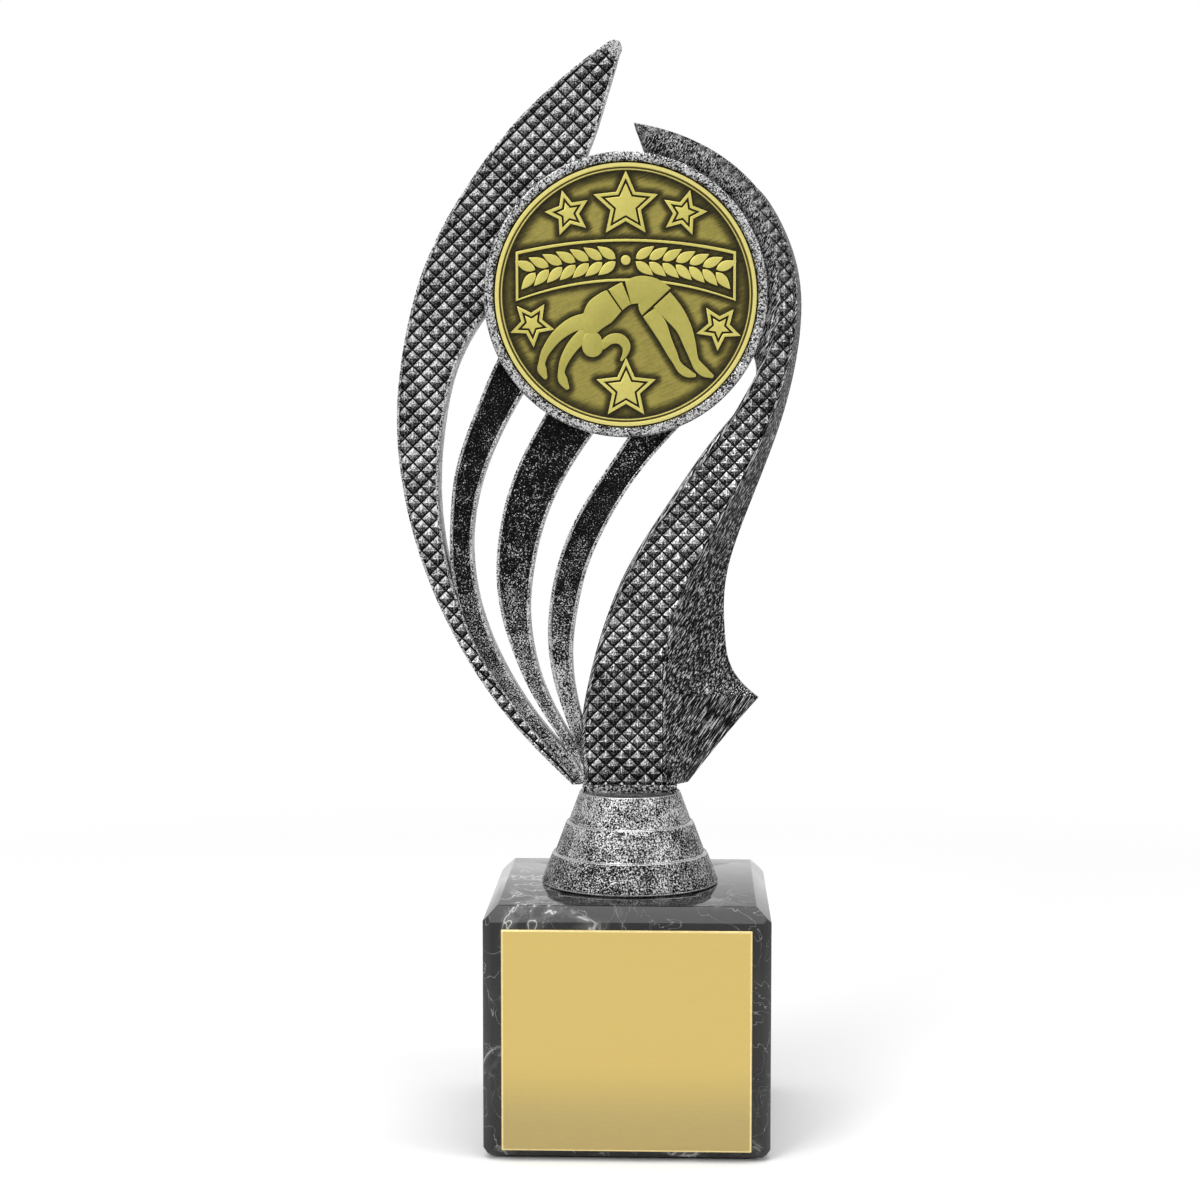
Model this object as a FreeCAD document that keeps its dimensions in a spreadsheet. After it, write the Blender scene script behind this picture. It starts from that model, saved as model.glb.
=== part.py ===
import FreeCAD
import Part
import math
import os
import Sketcher
from FreeCAD import Placement, Rotation, Vector

# Figure trophy: a stone block, a stepped riser and an openwork metallised figure that holds a round medal.
# Frame: +Z up, -Y is the front, the origin is the centre of the underside on the tie rod's axis, in mm.
# The driving sizes are in the spreadsheet; every sub-part is an object whose label names its STEP file.

SIZES = [
    # the block and what is stuck to it
    ("base_width", 54.0),
    ("base_depth", 54.0),
    ("base_height", 47.5),
    ("top_bevel", 2.8),
    ("bottom_bevel", 1.5),
    ("corner_bevel", 1.7),
    ("bore_radius", 3.25),
    ("counterbore_radius", 10.0),
    ("counterbore_depth", 9.0),
    ("felt_thickness", 0.5),
    ("felt_inset", 2.5),
    ("felt_corner", 3.0),
    ("plate_width", 46.8),
    ("plate_height", 41.9),
    ("plate_lift", 0.1),
    ("plate_thickness", 0.6),
    ("plate_bevel", 0.2),
    ("tape_thickness", 0.2),
    ("tape_inset", 0.8),
    # the clamping screw and its hardware
    ("rod_radius", 2.5),
    ("rod_bevel", 0.4),
    ("rod_tail", 1.2),
    ("thread_clearance", 0.05),
    ("nut_flats", 8.0),
    ("nut_height", 4.0),
    ("nut_bevel", 0.35),
    ("washer_radius", 9.0),
    ("washer_thickness", 1.2),
    ("spring_radius", 4.4),
    ("spring_thickness", 1.3),
    ("spring_slot", 0.9),
    # the stepped riser
    ("riser_height", 18.0),
    ("riser_top_radius", 9.8),
    ("riser_rim_radius", 17.3),
    ("riser_lip", 0.35),
    ("riser_step", 0.45),
    ("riser_wall", 2.0),
    ("riser_roof", 3.0),
    ("riser_web", 1.6),
    # the figure's foot
    ("foot_width", 18.4),
    ("foot_depth", 6.4),
    ("foot_thickness", 1.5),
    ("foot_round", 0.3),
    ("spigot_radius", 6.0),
    ("spigot_length", 9.0),
    ("spigot_clearance", 0.1),
    ("pocket_clearance", 0.1),
    # the medal and its cup
    ("medal_radius", 25.0),
    ("medal_thickness", 1.6),
    ("medal_rim", 1.0),
    ("medal_rim_height", 0.7),
    ("relief_height", 0.5),
    ("medal_clearance", 0.2),
    ("pad_thickness", 0.5),
    ("pad_inset", 2.0),
    ("cup_lip", 1.9),
    ("cup_lip_height", 0.5),
    ("cup_floor", 7.4),
    ("cup_back", 4.2),
    ("cup_round", 0.5),
    ("cup_dish_radius", 21.0),
    ("cup_dish_depth", 0.8),
    # the openwork figure
    ("figure_height", 144.8),
    ("medal_shift", -0.8),
    ("tip_radius", 1.4),
    ("panel_rim", 0.45),
    ("panel_depth", 0.6),
    ("rib_rim", 0.55),
    ("rib_depth", 0.5),
    ("ridge_offset", 2.1),
    ("ribbon_offset", 5.3),
]

doc = FreeCAD.newDocument("FigureTrophy")
sheet = doc.addObject("Spreadsheet::Sheet", "Sizes")
for row, (alias, size) in enumerate(SIZES, start=1):
    sheet.set(f"A{row}", str(size))
    sheet.setAlias(f"A{row}", alias)
doc.recompute()


class Size:
    """A length with its spreadsheet expression, so that geometry starts at the value it is bound to."""

    def __init__(self, value, text):
        self.value = value
        self.text = text

    def join(self, sign, other, value, turned=False):
        text = other.text if isinstance(other, Size) else repr(other)
        first, second = (text, self.text) if turned else (self.text, text)
        return Size(value, f"({first} {sign} {second})")

    def __add__(self, other):
        return self.join("+", other, self.value + plain(other))

    def __radd__(self, other):
        return self.join("+", other, plain(other) + self.value, True)

    def __sub__(self, other):
        return self.join("-", other, self.value - plain(other))

    def __rsub__(self, other):
        return self.join("-", other, plain(other) - self.value, True)

    def __mul__(self, other):
        return self.join("*", other, self.value * plain(other))

    def __rmul__(self, other):
        return self.join("*", other, plain(other) * self.value, True)

    def __truediv__(self, other):
        return self.join("/", other, self.value / plain(other))


def plain(number):
    return number.value if isinstance(number, Size) else number


def cell(alias):
    return Size(float(sheet.get(alias)), f"Sizes.{alias}")


S = {alias: cell(alias) for alias, size in SIZES}
N = {alias: S[alias].value for alias in S}

# levels and places that several pieces share
BASE_TOP = S["felt_thickness"] + S["base_height"]
RISER_TOP = BASE_TOP + S["riser_height"]
CEILING = S["felt_thickness"] + S["counterbore_depth"]
SPRING_TOP = CEILING - S["washer_thickness"]
NUT_TOP = SPRING_TOP - S["spring_thickness"]
CUP_RADIUS = S["medal_radius"] + S["medal_clearance"] + S["cup_lip"]
FRONT = Rotation(Vector(1, 0, 0), 90)  # local +Z becomes -Y, local +Y becomes +Z
DRAWN_HEIGHT = 144.8  # the curves of the figure below are drawn at this height,
DRAWN_RISE = 96.2     # round a medal whose centre stands this high above the riser
DRAWN_MEDAL = 25.0    # and whose radius is this
STRETCH = N["figure_height"] / DRAWN_HEIGHT
GROWTH = N["medal_radius"] / DRAWN_MEDAL
MEDAL_SHIFT = S["medal_shift"]
MEDAL_RISE = S["figure_height"] * (DRAWN_RISE / DRAWN_HEIGHT)


def place(thing, x=None, y=None, z=None, turn=None):
    """Sets a thing's rotation and binds its position to the sheet."""
    at = Vector(*(plain(v) if v is not None else 0.0 for v in (x, y, z)))
    thing.Placement = Placement(at, turn or Rotation())
    for axis, value in (("x", x), ("y", y), ("z", z)):
        if isinstance(value, Size):
            thing.setExpression(f"Placement.Base.{axis}", value.text)


def bind(thing, name, size):
    setattr(thing, name, plain(size))
    thing.setExpression(name, size.text)


def new_body(label):
    body = doc.addObject("PartDesign::Body", label)
    body.Label = label
    return body


def new_sketch(body, name, role="XY_Plane"):
    sketch = body.newObject("Sketcher::SketchObject", f"{body.Label}_{name}")
    plane = next(f for f in body.Origin.OriginFeatures if f.Role == role)
    sketch.AttachmentSupport = [(plane, "")]
    sketch.MapMode = "FlatFace"
    return sketch


def circle(sketch, radius):
    geo = sketch.addGeometry(Part.Circle(Vector(), Vector(0, 0, 1), plain(radius)), False)
    sketch.addConstraint(Sketcher.Constraint("Coincident", geo, 3, -1, 1))
    index = sketch.addConstraint(Sketcher.Constraint("Radius", geo, plain(radius)))
    sketch.setExpression(f"Constraints[{index}]", radius.text)


def loop(sketch, points):
    """Adds a closed run of lines between points and returns the index of its first line."""
    lines = [Part.LineSegment(a, b) for a, b in zip(points, points[1:] + points[:1])]
    first = sketch.addGeometry(lines, False)[0]
    for k in range(len(points)):
        follower = first + (k + 1) % len(points)
        sketch.addConstraint(Sketcher.Constraint("Coincident", first + k, 2, follower, 1))
    return first


def rectangle(sketch, width, depth):
    """A rectangle centred on the sketch's origin."""
    x, y = plain(width) / 2, plain(depth) / 2
    first = loop(sketch, [Vector(-x, -y), Vector(x, -y), Vector(x, y), Vector(-x, y)])
    for k, way in enumerate(("Horizontal", "Vertical", "Horizontal", "Vertical")):
        sketch.addConstraint(Sketcher.Constraint(way, first + k))
    sketch.addConstraint(Sketcher.Constraint("Symmetric", first, 1, first + 2, 1, -1, 1))
    wide = sketch.addConstraint(Sketcher.Constraint("DistanceX", first, 1, first, 2, 2 * x))
    deep = sketch.addConstraint(Sketcher.Constraint("DistanceY", first + 1, 1, first + 1, 2, 2 * y))
    sketch.setExpression(f"Constraints[{wide}]", width.text)
    sketch.setExpression(f"Constraints[{deep}]", depth.text)


def hexagon(sketch, flats):
    """A hexagon on the sketch's origin, with two of its sides along Y."""
    radius = plain(flats) / math.sqrt(3)
    turns = [math.radians(30 + 60 * k) for k in range(6)]
    first = loop(sketch, [Vector(radius * math.cos(a), radius * math.sin(a)) for a in turns])
    ring = sketch.addGeometry(Part.Circle(Vector(), Vector(0, 0, 1), radius), True)
    sketch.addConstraint(Sketcher.Constraint("Coincident", ring, 3, -1, 1))
    for k in range(6):
        sketch.addConstraint(Sketcher.Constraint("PointOnObject", first + k, 1, ring))
    for k in range(5):
        sketch.addConstraint(Sketcher.Constraint("Equal", first + k, first + k + 1))
    sketch.addConstraint(Sketcher.Constraint("Vertical", first + 5))
    index = sketch.addConstraint(Sketcher.Constraint("Radius", ring, radius))
    sketch.setExpression(f"Constraints[{index}]", f"{flats.text} / sqrt(3)")


def profile(sketch, corners):
    """A closed outline whose corners are bound to (radius, height) pairs, none of them negative."""
    first = loop(sketch, [Vector(plain(x), plain(y)) for x, y in corners])
    for k, corner in enumerate(corners):
        for way, axis, value in (("DistanceX", -2, corner[0]), ("DistanceY", -1, corner[1])):
            if isinstance(value, Size):
                index = sketch.addConstraint(
                    Sketcher.Constraint(way, -1, 1, first + k, 1, value.value))
                sketch.setExpression(f"Constraints[{index}]", value.text)
            else:
                sketch.addConstraint(Sketcher.Constraint("PointOnObject", first + k, 1, axis))


def pad(body, sketch, length, name="pad", downwards=False, middle=False):
    feature = body.newObject("PartDesign::Pad", f"{body.Label}_{name}")
    feature.Profile = sketch
    feature.Reversed = downwards
    if middle:
        feature.SideType = "Symmetric"
    bind(feature, "Length", length)
    return feature


def pocket(body, sketch, depth, name="pocket"):
    """Cuts upwards from the body's XY plane and checks that something was cut."""
    doc.recompute()
    before = body.Shape.Volume
    feature = body.newObject("PartDesign::Pocket", f"{body.Label}_{name}")
    feature.Profile = sketch
    feature.Reversed = True
    bind(feature, "Length", depth)
    doc.recompute()
    if body.Shape.Volume > before - 1e-6:
        raise RuntimeError(f"{feature.Name} cuts nothing")
    return feature


def revolve(body, sketch, name="turning"):
    feature = body.newObject("PartDesign::Revolution", f"{body.Label}_{name}")
    feature.Profile = sketch
    feature.ReferenceAxis = (sketch, ["V_Axis"])
    feature.Angle = 360
    return feature


def dress(body, kind, size, chosen, name):
    """A chamfer or fillet on the edges of the body's tip for which chosen(edge) is true."""
    doc.recompute()
    base = body.Tip
    edges = [f"Edge{k}" for k, e in enumerate(base.Shape.Edges, start=1) if chosen(e)]
    if not edges:
        raise RuntimeError(f"{body.Label} has no edge for its {name}")
    feature = body.newObject(f"PartDesign::{kind}", f"{body.Label}_{name}")
    feature.Base = (base, edges)
    bind(feature, "Radius" if kind == "Fillet" else "Size", size)
    return feature


def upright(edge):
    ends = [v.Point for v in edge.Vertexes]
    return len(ends) == 2 and math.hypot(ends[0].x - ends[1].x, ends[0].y - ends[1].y) < 1e-6


def at_height(height):
    """True for the edges that lie in the plane z = height."""
    def lies_there(edge):
        box = edge.BoundBox
        return abs(box.ZMin - height) < 1e-6 and abs(box.ZMax - height) < 1e-6
    return lies_there


def round_at(radius, height):
    def is_it(edge):
        curve = edge.Curve
        flat = at_height(height)(edge)
        return flat and isinstance(curve, Part.Circle) and abs(curve.Radius - radius) < 1e-6
    return is_it


# ---------------------------------------------------------------- the block

def felt_pad():
    body = new_body("felt_pad")
    outline = new_sketch(body, "outline")
    inset = 2 * S["felt_inset"]
    rectangle(outline, S["base_width"] - inset, S["base_depth"] - inset)
    pad(body, outline, S["felt_thickness"])
    dress(body, "Fillet", S["felt_corner"], upright, "corners")


def marble_base():
    body = new_body("marble_base")
    outline = new_sketch(body, "outline")
    rectangle(outline, S["base_width"], S["base_depth"])
    pad(body, outline, S["base_height"])
    dress(body, "Chamfer", S["top_bevel"], at_height(N["base_height"]), "top_edges")
    dress(body, "Chamfer", S["bottom_bevel"], at_height(0.0), "bottom_edges")
    dress(body, "Chamfer", S["corner_bevel"], upright, "corners")
    bore = new_sketch(body, "bore")
    circle(bore, S["bore_radius"])
    pocket(body, bore, S["base_height"], "through")
    seat = new_sketch(body, "seat")
    circle(seat, S["counterbore_radius"])
    pocket(body, seat, S["counterbore_depth"], "counterbore")
    place(body, z=S["felt_thickness"])


def front_sheet(label, inset, thickness, behind):
    """A thin rectangle on the block's front face; behind is the thickness of what lies behind it."""
    body = new_body(label)
    outline = new_sketch(body, "outline")
    rectangle(outline, S["plate_width"] - inset * 2, S["plate_height"] - inset * 2)
    pad(body, outline, thickness)
    middle = S["felt_thickness"] + S["bottom_bevel"] + S["plate_lift"] + S["plate_height"] / 2
    place(body, y=0 - S["base_depth"] / 2 - behind, z=middle, turn=FRONT)
    return body


def plate_and_tape():
    front_sheet("plate_tape", S["tape_inset"], S["tape_thickness"], 0)
    plate = front_sheet("engraving_plate", 0, S["plate_thickness"], S["tape_thickness"])
    dress(plate, "Chamfer", S["plate_bevel"], at_height(N["plate_thickness"]), "front_edges")


# ---------------------------------------------------------------- rod, nuts and washers

def ring(label, outer, thickness, height):
    """A plain ring around the rod, with its underside at height."""
    body = new_body(label)
    outline = new_sketch(body, "outline")
    circle(outline, outer)
    circle(outline, S["rod_radius"] + S["thread_clearance"])
    pad(body, outline, thickness)
    place(body, z=height)
    return body


def hex_nut(label, height):
    body = new_body(label)
    outline = new_sketch(body, "outline")
    hexagon(outline, S["nut_flats"])
    circle(outline, S["rod_radius"] + S["thread_clearance"])
    pad(body, outline, S["nut_height"])
    hole = N["rod_radius"] + N["thread_clearance"]
    for level in (0.0, N["nut_height"]):
        dress(body, "Chamfer", S["nut_bevel"], round_at(hole, level), f"mouth_{int(level > 0)}")
    place(body, z=height)


def spring_washer():
    """A split ring; the split is cut on the +X side."""
    body = ring("spring_washer", S["spring_radius"], S["spring_thickness"], NUT_TOP)
    gap = new_sketch(body, "gap")
    start, end, half = S["rod_radius"] / 2, S["spring_radius"] + 1.0, N["spring_slot"] / 2
    near, far = start.value, end.value
    first = loop(gap, [Vector(near, -half), Vector(far, -half), Vector(far, half), Vector(near, half)])
    for k, way in ((0, "Horizontal"), (2, "Horizontal"), (3, "Vertical")):
        gap.addConstraint(Sketcher.Constraint(way, first + k))
    gap.addConstraint(Sketcher.Constraint("Symmetric", first + 1, 1, first + 1, 2, -1))
    rules = (
        (Sketcher.Constraint("DistanceX", -1, 1, first, 1, near), start),
        (Sketcher.Constraint("DistanceX", -1, 1, first, 2, far), end),
        (Sketcher.Constraint("DistanceY", first + 1, 1, first + 1, 2, 2 * half), S["spring_slot"]),
    )
    for rule, size in rules:
        gap.setExpression(f"Constraints[{gap.addConstraint(rule)}]", size.text)
    pocket(body, gap, S["spring_thickness"], "split")


def tie_rod():
    body = new_body("tie_rod")
    outline = new_sketch(body, "outline")
    circle(outline, S["rod_radius"])
    bottom = NUT_TOP - S["nut_height"] - S["rod_tail"]
    length = RISER_TOP - bottom - S["rod_bevel"]
    pad(body, outline, length)
    ends = (round_at(N["rod_radius"], 0.0), round_at(N["rod_radius"], length.value))
    dress(body, "Chamfer", S["rod_bevel"], lambda e: any(end(e) for end in ends), "ends")
    place(body, z=bottom)


# ---------------------------------------------------------------- the riser and the figure's foot

def riser_skirt():
    body = new_body("riser_skirt")
    outline = new_sketch(body, "outline", "XZ_Plane")
    high, top, rim = S["riser_height"], S["riser_top_radius"], S["riser_rim_radius"]
    lip, step, wall, roof = S["riser_lip"], S["riser_step"], S["riser_wall"], S["riser_roof"]
    flare = (rim - top - step * 2) / 3  # each of the three tiers widens by this much
    hole = S["spigot_radius"] + S["spigot_clearance"]
    profile(outline, [
        (rim - wall, 0), (rim - lip, 0), (rim, lip),
        (top + step * 2 + flare * 2, high / 3), (top + step + flare * 2, high / 3),
        (top + step + flare, high * (2 / 3)), (top + flare, high * (2 / 3)),
        (top, high), (hole, high), (hole, high - roof),
        (top + flare * (1 / 2) - wall, high - roof),
    ])
    revolve(body, outline)
    doc.recompute()
    web = new_sketch(body, "web", "XZ_Plane")
    inner, low, depth = hole + 1.0, lip + 1.0, 6.0  # clear of the spigot and of the stone
    side_root, roof_root = 0.6, 0.5  # how far the web runs into the wall and the roof
    profile(web, [
        (inner, high - roof - depth), (rim - wall * 2, low), (rim - wall, low),
        (top + flare / 2 - wall + side_root, high - roof + roof_root), (inner, high - roof + roof_root),
    ])
    pad(body, web, S["riser_web"], "web", middle=True)
    doc.recompute()
    around = body.newObject("PartDesign::PolarPattern", "riser_skirt_webs")
    around.Originals = [body.Tip]
    axis = next(f for f in body.Origin.OriginFeatures if f.Role == "Z_Axis")
    around.Axis = (axis, [""])
    around.Angle = 360
    around.Occurrences = 4
    body.Tip = around
    place(body, z=BASE_TOP)


def figure_foot():
    body = new_body("figure_foot")
    spigot = new_sketch(body, "spigot")
    circle(spigot, S["spigot_radius"])
    pad(body, spigot, S["spigot_length"], "spigot_pad")
    hole = new_sketch(body, "hole")
    circle(hole, S["rod_radius"] + S["thread_clearance"])
    pocket(body, hole, S["spigot_length"], "rod_hole")
    seat = new_sketch(body, "seat")
    hexagon(seat, S["nut_flats"] + S["pocket_clearance"] * 2)
    pocket(body, seat, S["nut_height"], "nut_pocket")
    plinth = new_sketch(body, "plinth")
    plinth.AttachmentOffset = Placement(Vector(0, 0, N["spigot_length"]), Rotation())
    plinth.setExpression("AttachmentOffset.Base.z", S["spigot_length"].text)
    rectangle(plinth, S["foot_width"], S["foot_depth"])
    pad(body, plinth, S["foot_thickness"], "plinth_pad")
    top = N["spigot_length"] + N["foot_thickness"]
    dress(body, "Fillet", S["foot_round"], at_height(top), "top_edges")
    place(body, z=RISER_TOP - S["spigot_length"])


# ---------------------------------------------------------------- the cup and the medal

def on_medal_axis(thing, forward):
    """Turns a thing drawn flat to face the front, its XY plane this far in front of the cup's back."""
    place(thing, x=MEDAL_SHIFT, y=S["cup_back"] - forward, z=RISER_TOP + MEDAL_RISE, turn=FRONT)


MEDAL_BACK = S["cup_floor"] + S["pad_thickness"]
LIP_FRONT = MEDAL_BACK + S["medal_thickness"] + S["medal_rim_height"] + S["cup_lip_height"]


def medal_cup():
    body = new_body("medal_cup")
    outline = new_sketch(body, "outline", "XZ_Plane")
    recess = S["medal_radius"] + S["medal_clearance"]
    profile(outline, [
        (0, S["cup_dish_depth"]), (S["cup_dish_radius"], S["cup_dish_depth"]),
        (S["cup_dish_radius"] + S["cup_dish_depth"], 0), (CUP_RADIUS, 0), (CUP_RADIUS, LIP_FRONT),
        (recess, LIP_FRONT), (recess, S["cup_floor"]), (0, S["cup_floor"]),
    ])
    revolve(body, outline)
    rims = (round_at(CUP_RADIUS.value, 0.0), round_at(CUP_RADIUS.value, LIP_FRONT.value),
            round_at(recess.value, LIP_FRONT.value))
    dress(body, "Fillet", S["cup_round"], lambda e: any(rim(e) for rim in rims), "lip")
    on_medal_axis(body, 0)


def medal_pad():
    body = new_body("medal_pad")
    outline = new_sketch(body, "outline")
    circle(outline, S["medal_radius"] - S["pad_inset"])
    pad(body, outline, S["pad_thickness"])
    on_medal_axis(body, S["cup_floor"])


def star(x, y, reach, turn, waist=0.46):
    """A five-pointed star's outline; reach is its points' radius, and turn tilts it in degrees."""
    corners = []
    for k in range(10):
        radius = reach if k % 2 == 0 else reach * waist
        angle = math.radians(90 + turn + 36 * k)
        corners.append(Vector(x + radius * math.cos(angle), y + radius * math.sin(angle)))
    return Part.makePolygon(corners + corners[:1])


def soft_outline(points):
    curve = Part.BSplineCurve()
    curve.interpolate([Vector(x, y) for x, y in points], PeriodicFlag=True)
    return Part.Wire([curve.toShape()])


def banner():
    """A blank title band: level along the top, arched along the bottom."""
    left, right, top, end, middle = -20.5, 20.5, 10.6, 0.2, 2.4
    arch = Part.Arc(Vector(right, end), Vector(0, middle), Vector(left, end))
    crown = Part.Arc(Vector(left, top - 0.6), Vector(0, top), Vector(right, top - 0.6))
    sides = [Part.makeLine(Vector(left, end), Vector(left, top - 0.6)),
             Part.makeLine(Vector(right, top - 0.6), Vector(right, end))]
    return Part.Wire([sides[0], crown.toShape(), sides[1], arch.toShape()])


def tumbler():
    """The outlines of a generic gymnast in a back walkover: trunk, skirt, head, hair, arms and legs."""
    return [soft_outline(points) for points in (
        [(-7.9, -3.6), (-7.4, -0.6), (-4.4, 0.9), (-2.6, 0.9), (-1.4, -3.4), (-3.6, -5.4), (-6.0, -6.4)],
        [(-3.4, 0.9), (0.4, 2.4), (4.4, 2.1), (5.0, -1.6), (3.4, -4.4), (0.6, -3.6), (-1.6, -2.0)],
        [(-9.2, -8.2), (-7.2, -6.2), (-5.0, -7.2), (-4.6, -9.6), (-6.4, -11.6), (-8.6, -10.8)],
        [(-4.8, -9.0), (-3.0, -7.3), (-0.6, -8.0), (-0.4, -10.4), (-1.6, -9.4), (-3.2, -9.6)],
        [(-8.0, -4.4), (-12.6, -7.0), (-16.6, -11.6), (-17.2, -14.8), (-15.6, -14.2), (-14.9, -11.8),
         (-11.4, -8.4), (-7.8, -6.6)],
        [(-9.4, -8.6), (-11.8, -10.8), (-13.2, -14.6), (-11.6, -18.0), (-11.0, -17.4), (-11.6, -14.6),
         (-10.2, -12.0), (-8.4, -10.2)],
        [(3.4, 0.6), (8.4, -1.0), (11.8, -5.2), (12.8, -11.0), (16.4, -14.6), (15.6, -16.0), (11.8, -15.0),
         (10.2, -8.4), (7.6, -5.2), (3.4, -4.0)],
        [(4.6, -3.0), (7.4, -5.4), (9.0, -9.4), (10.4, -12.4), (9.4, -13.4), (8.0, -12.6), (6.4, -8.6),
         (4.4, -5.2)],
    )]


def medal():
    """A struck disc: raised rim, and a relief of stars, a blank band and a gymnast."""
    body = new_body("medal_blank")
    outline = new_sketch(body, "outline", "XZ_Plane")
    radius, thick = S["medal_radius"], S["medal_thickness"]
    raised = thick + S["medal_rim_height"]
    profile(outline, [(0, 0), (radius, 0), (radius, raised), (radius - S["medal_rim"], raised),
                      (radius - S["medal_rim"], thick), (0, thick)])
    revolve(body, outline)
    doc.recompute()
    stars = [star(0, 17.0, 6.4, 0), star(-11.2, 15.6, 4.4, 16), star(11.2, 15.6, 4.4, -16),
             star(-17.6, -6.0, 4.2, 184), star(17.6, -6.8, 4.2, 176), star(0, -18.2, 6.0, 0)]
    wires = stars + [banner()] + tumbler()
    sink = 0.3
    raise_by = Vector(0, 0, N["relief_height"] + sink)
    cut_out = [Part.Face(w).extrude(raise_by) for w in wires]
    relief = cut_out[0].multiFuse(cut_out[1:])
    stretch = FreeCAD.Matrix()
    stretch.scale(GROWTH, GROWTH, 1.0)
    relief = relief.transformGeometry(stretch)
    relief.translate(Vector(0, 0, N["medal_thickness"] - sink))
    whole = doc.addObject("Part::Feature", "medal")
    whole.Shape = body.Shape.fuse(relief).removeSplitter()
    on_medal_axis(whole, MEDAL_BACK)


# ---------------------------------------------------------------- the openwork figure

MEDAL_AT = Vector(MEDAL_SHIFT.value, 0, MEDAL_RISE.value)


def drawn(x, z):
    """A place on an outline: its height follows the figure's, and beside the medal it follows the medal."""
    reach = DRAWN_RISE if z < DRAWN_RISE else DRAWN_HEIGHT - DRAWN_RISE
    beside = max(1 - abs(z - DRAWN_RISE) / reach, 0)
    here = Vector(x, 0, z * STRETCH)
    return here + (here - MEDAL_AT) * (beside * (GROWTH - 1))


def stations(points, count):
    """Evenly spaced places along a smooth line drawn through points (x, z) above the riser."""
    curve = Part.BSplineCurve()
    curve.interpolate([drawn(x, z) for x, z in points])
    return curve.toShape().discretize(Number=count)


def along(values, share):
    """The value at share (0 to 1) of an evenly spaced list, eased between its entries."""
    place_in = share * (len(values) - 1)
    k = min(int(place_in), len(values) - 2)
    t = place_in - k
    t = t * t * (3 - 2 * t)
    return values[k] * (1 - t) + values[k + 1] * t


def lofted(rings):
    """A solid through closed rings, turned right side out."""
    solid = Part.makeLoft(rings, True, False)
    if solid.Volume < 0:
        solid.reverse()
    return solid


def section(first, second, first_front, second_front, back, rim, depth, root=None):
    """One closed cross-section of a band, from its first edge to its second, with a sunk panel between rims.

    root is an optional (distance, front) of a flank that runs from the first edge away from the second.
    """
    span = second - first
    way = span / span.Length
    start, end = (0.0, first_front), (span.Length, second_front)
    slant = math.hypot(end[0], end[1] - start[1])
    tangent = (end[0] / slant, (end[1] - start[1]) / slant)
    inward = (-tangent[1], tangent[0])
    rim = min(rim, slant / 4)
    depth = min(depth, slant / 4)

    def on_panel(distance, sunk):
        return (tangent[0] * distance + inward[0] * sunk,
                start[1] + tangent[1] * distance + inward[1] * sunk)

    corners = [start, on_panel(rim, 0), on_panel(rim, depth),
               on_panel(slant - rim, depth), on_panel(slant - rim, 0), end, (end[0], back)]
    if root is None:
        corners.append((0.0, back))
    else:
        corners += [(-root[0], back), (-root[0], root[1])]
    ring_of = [first + way * u + Vector(0, y, 0) for u, y in corners]
    return Part.makePolygon(ring_of + ring_of[:1])


def band(first_edge, second_edge, front, back, rim, depth, count):
    """A moulded strip between two edges, lofted through its cross-sections."""
    pairs = zip(stations(first_edge, count), stations(second_edge, count))
    rings = []
    for k, (first, second) in enumerate(pairs):
        share = k / (count - 1)
        y = along(front, share)
        rings.append(section(first, second, y, y, along(back, share), rim, depth))
    return lofted(rings)


def envelope():
    """What the mouldings are trimmed by: the cup's round and everything under the top of the foot."""
    round_cut = Part.makeCylinder(CUP_RADIUS.value, 60, MEDAL_AT + Vector(0, -30, 0), Vector(0, 1, 0))
    size = 4 * N["figure_height"]
    under = Part.makeBox(size, size, size, Vector(-size / 2, -size / 2, N["foot_thickness"] - size))
    return [round_cut, under]


def settle(label, solid, neighbours):
    """Trims a moulding by what it meets, keeps its one piece and stands it on the riser."""
    whole = solid.cut(envelope())
    for other in neighbours:
        if whole.common(other).Volume > 1e-4:
            whole = whole.cut(other)
    piece = max(whole.Solids, key=lambda s: s.Volume)
    node = doc.addObject("Part::Feature", label)
    node.Label = label
    node.Shape = piece
    node.Placement = Placement(Vector(0, 0, RISER_TOP.value), Rotation())


BLADE_OUTER = [(-3.8, 144.6), (-10.9, 139.4), (-20.8, 130.4), (-30.4, 118.3), (-39.0, 102.9),
               (-43.3, 87.6), (-44.9, 72.4), (-43.4, 57.0), (-39.0, 41.5), (-31.5, 26.0),
               (-23.3, 14.2), (-15.8, 6.0), (-10.0, 0.4)]
BLADE_INNER = [(-1.8, 143.4), (-4.4, 134.4), (-8.0, 123.8), (-15.2, 110.9), (-23.8, 98.2), (-32.6, 85.0),
               (-36.2, 71.0), (-37.0, 58.0), (-35.2, 44.2), (-29.3, 27.6), (-19.8, 13.6), (-8.9, 0.4)]
BLADE_TIP = (-3.1, 143.4)
BLADE_FRONT = [-2.0, -3.6, -4.4, -4.2, -3.6, -2.9]
BLADE_BACK = [1.6, 3.0, 3.6, 3.6, 3.2, 2.9]
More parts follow.
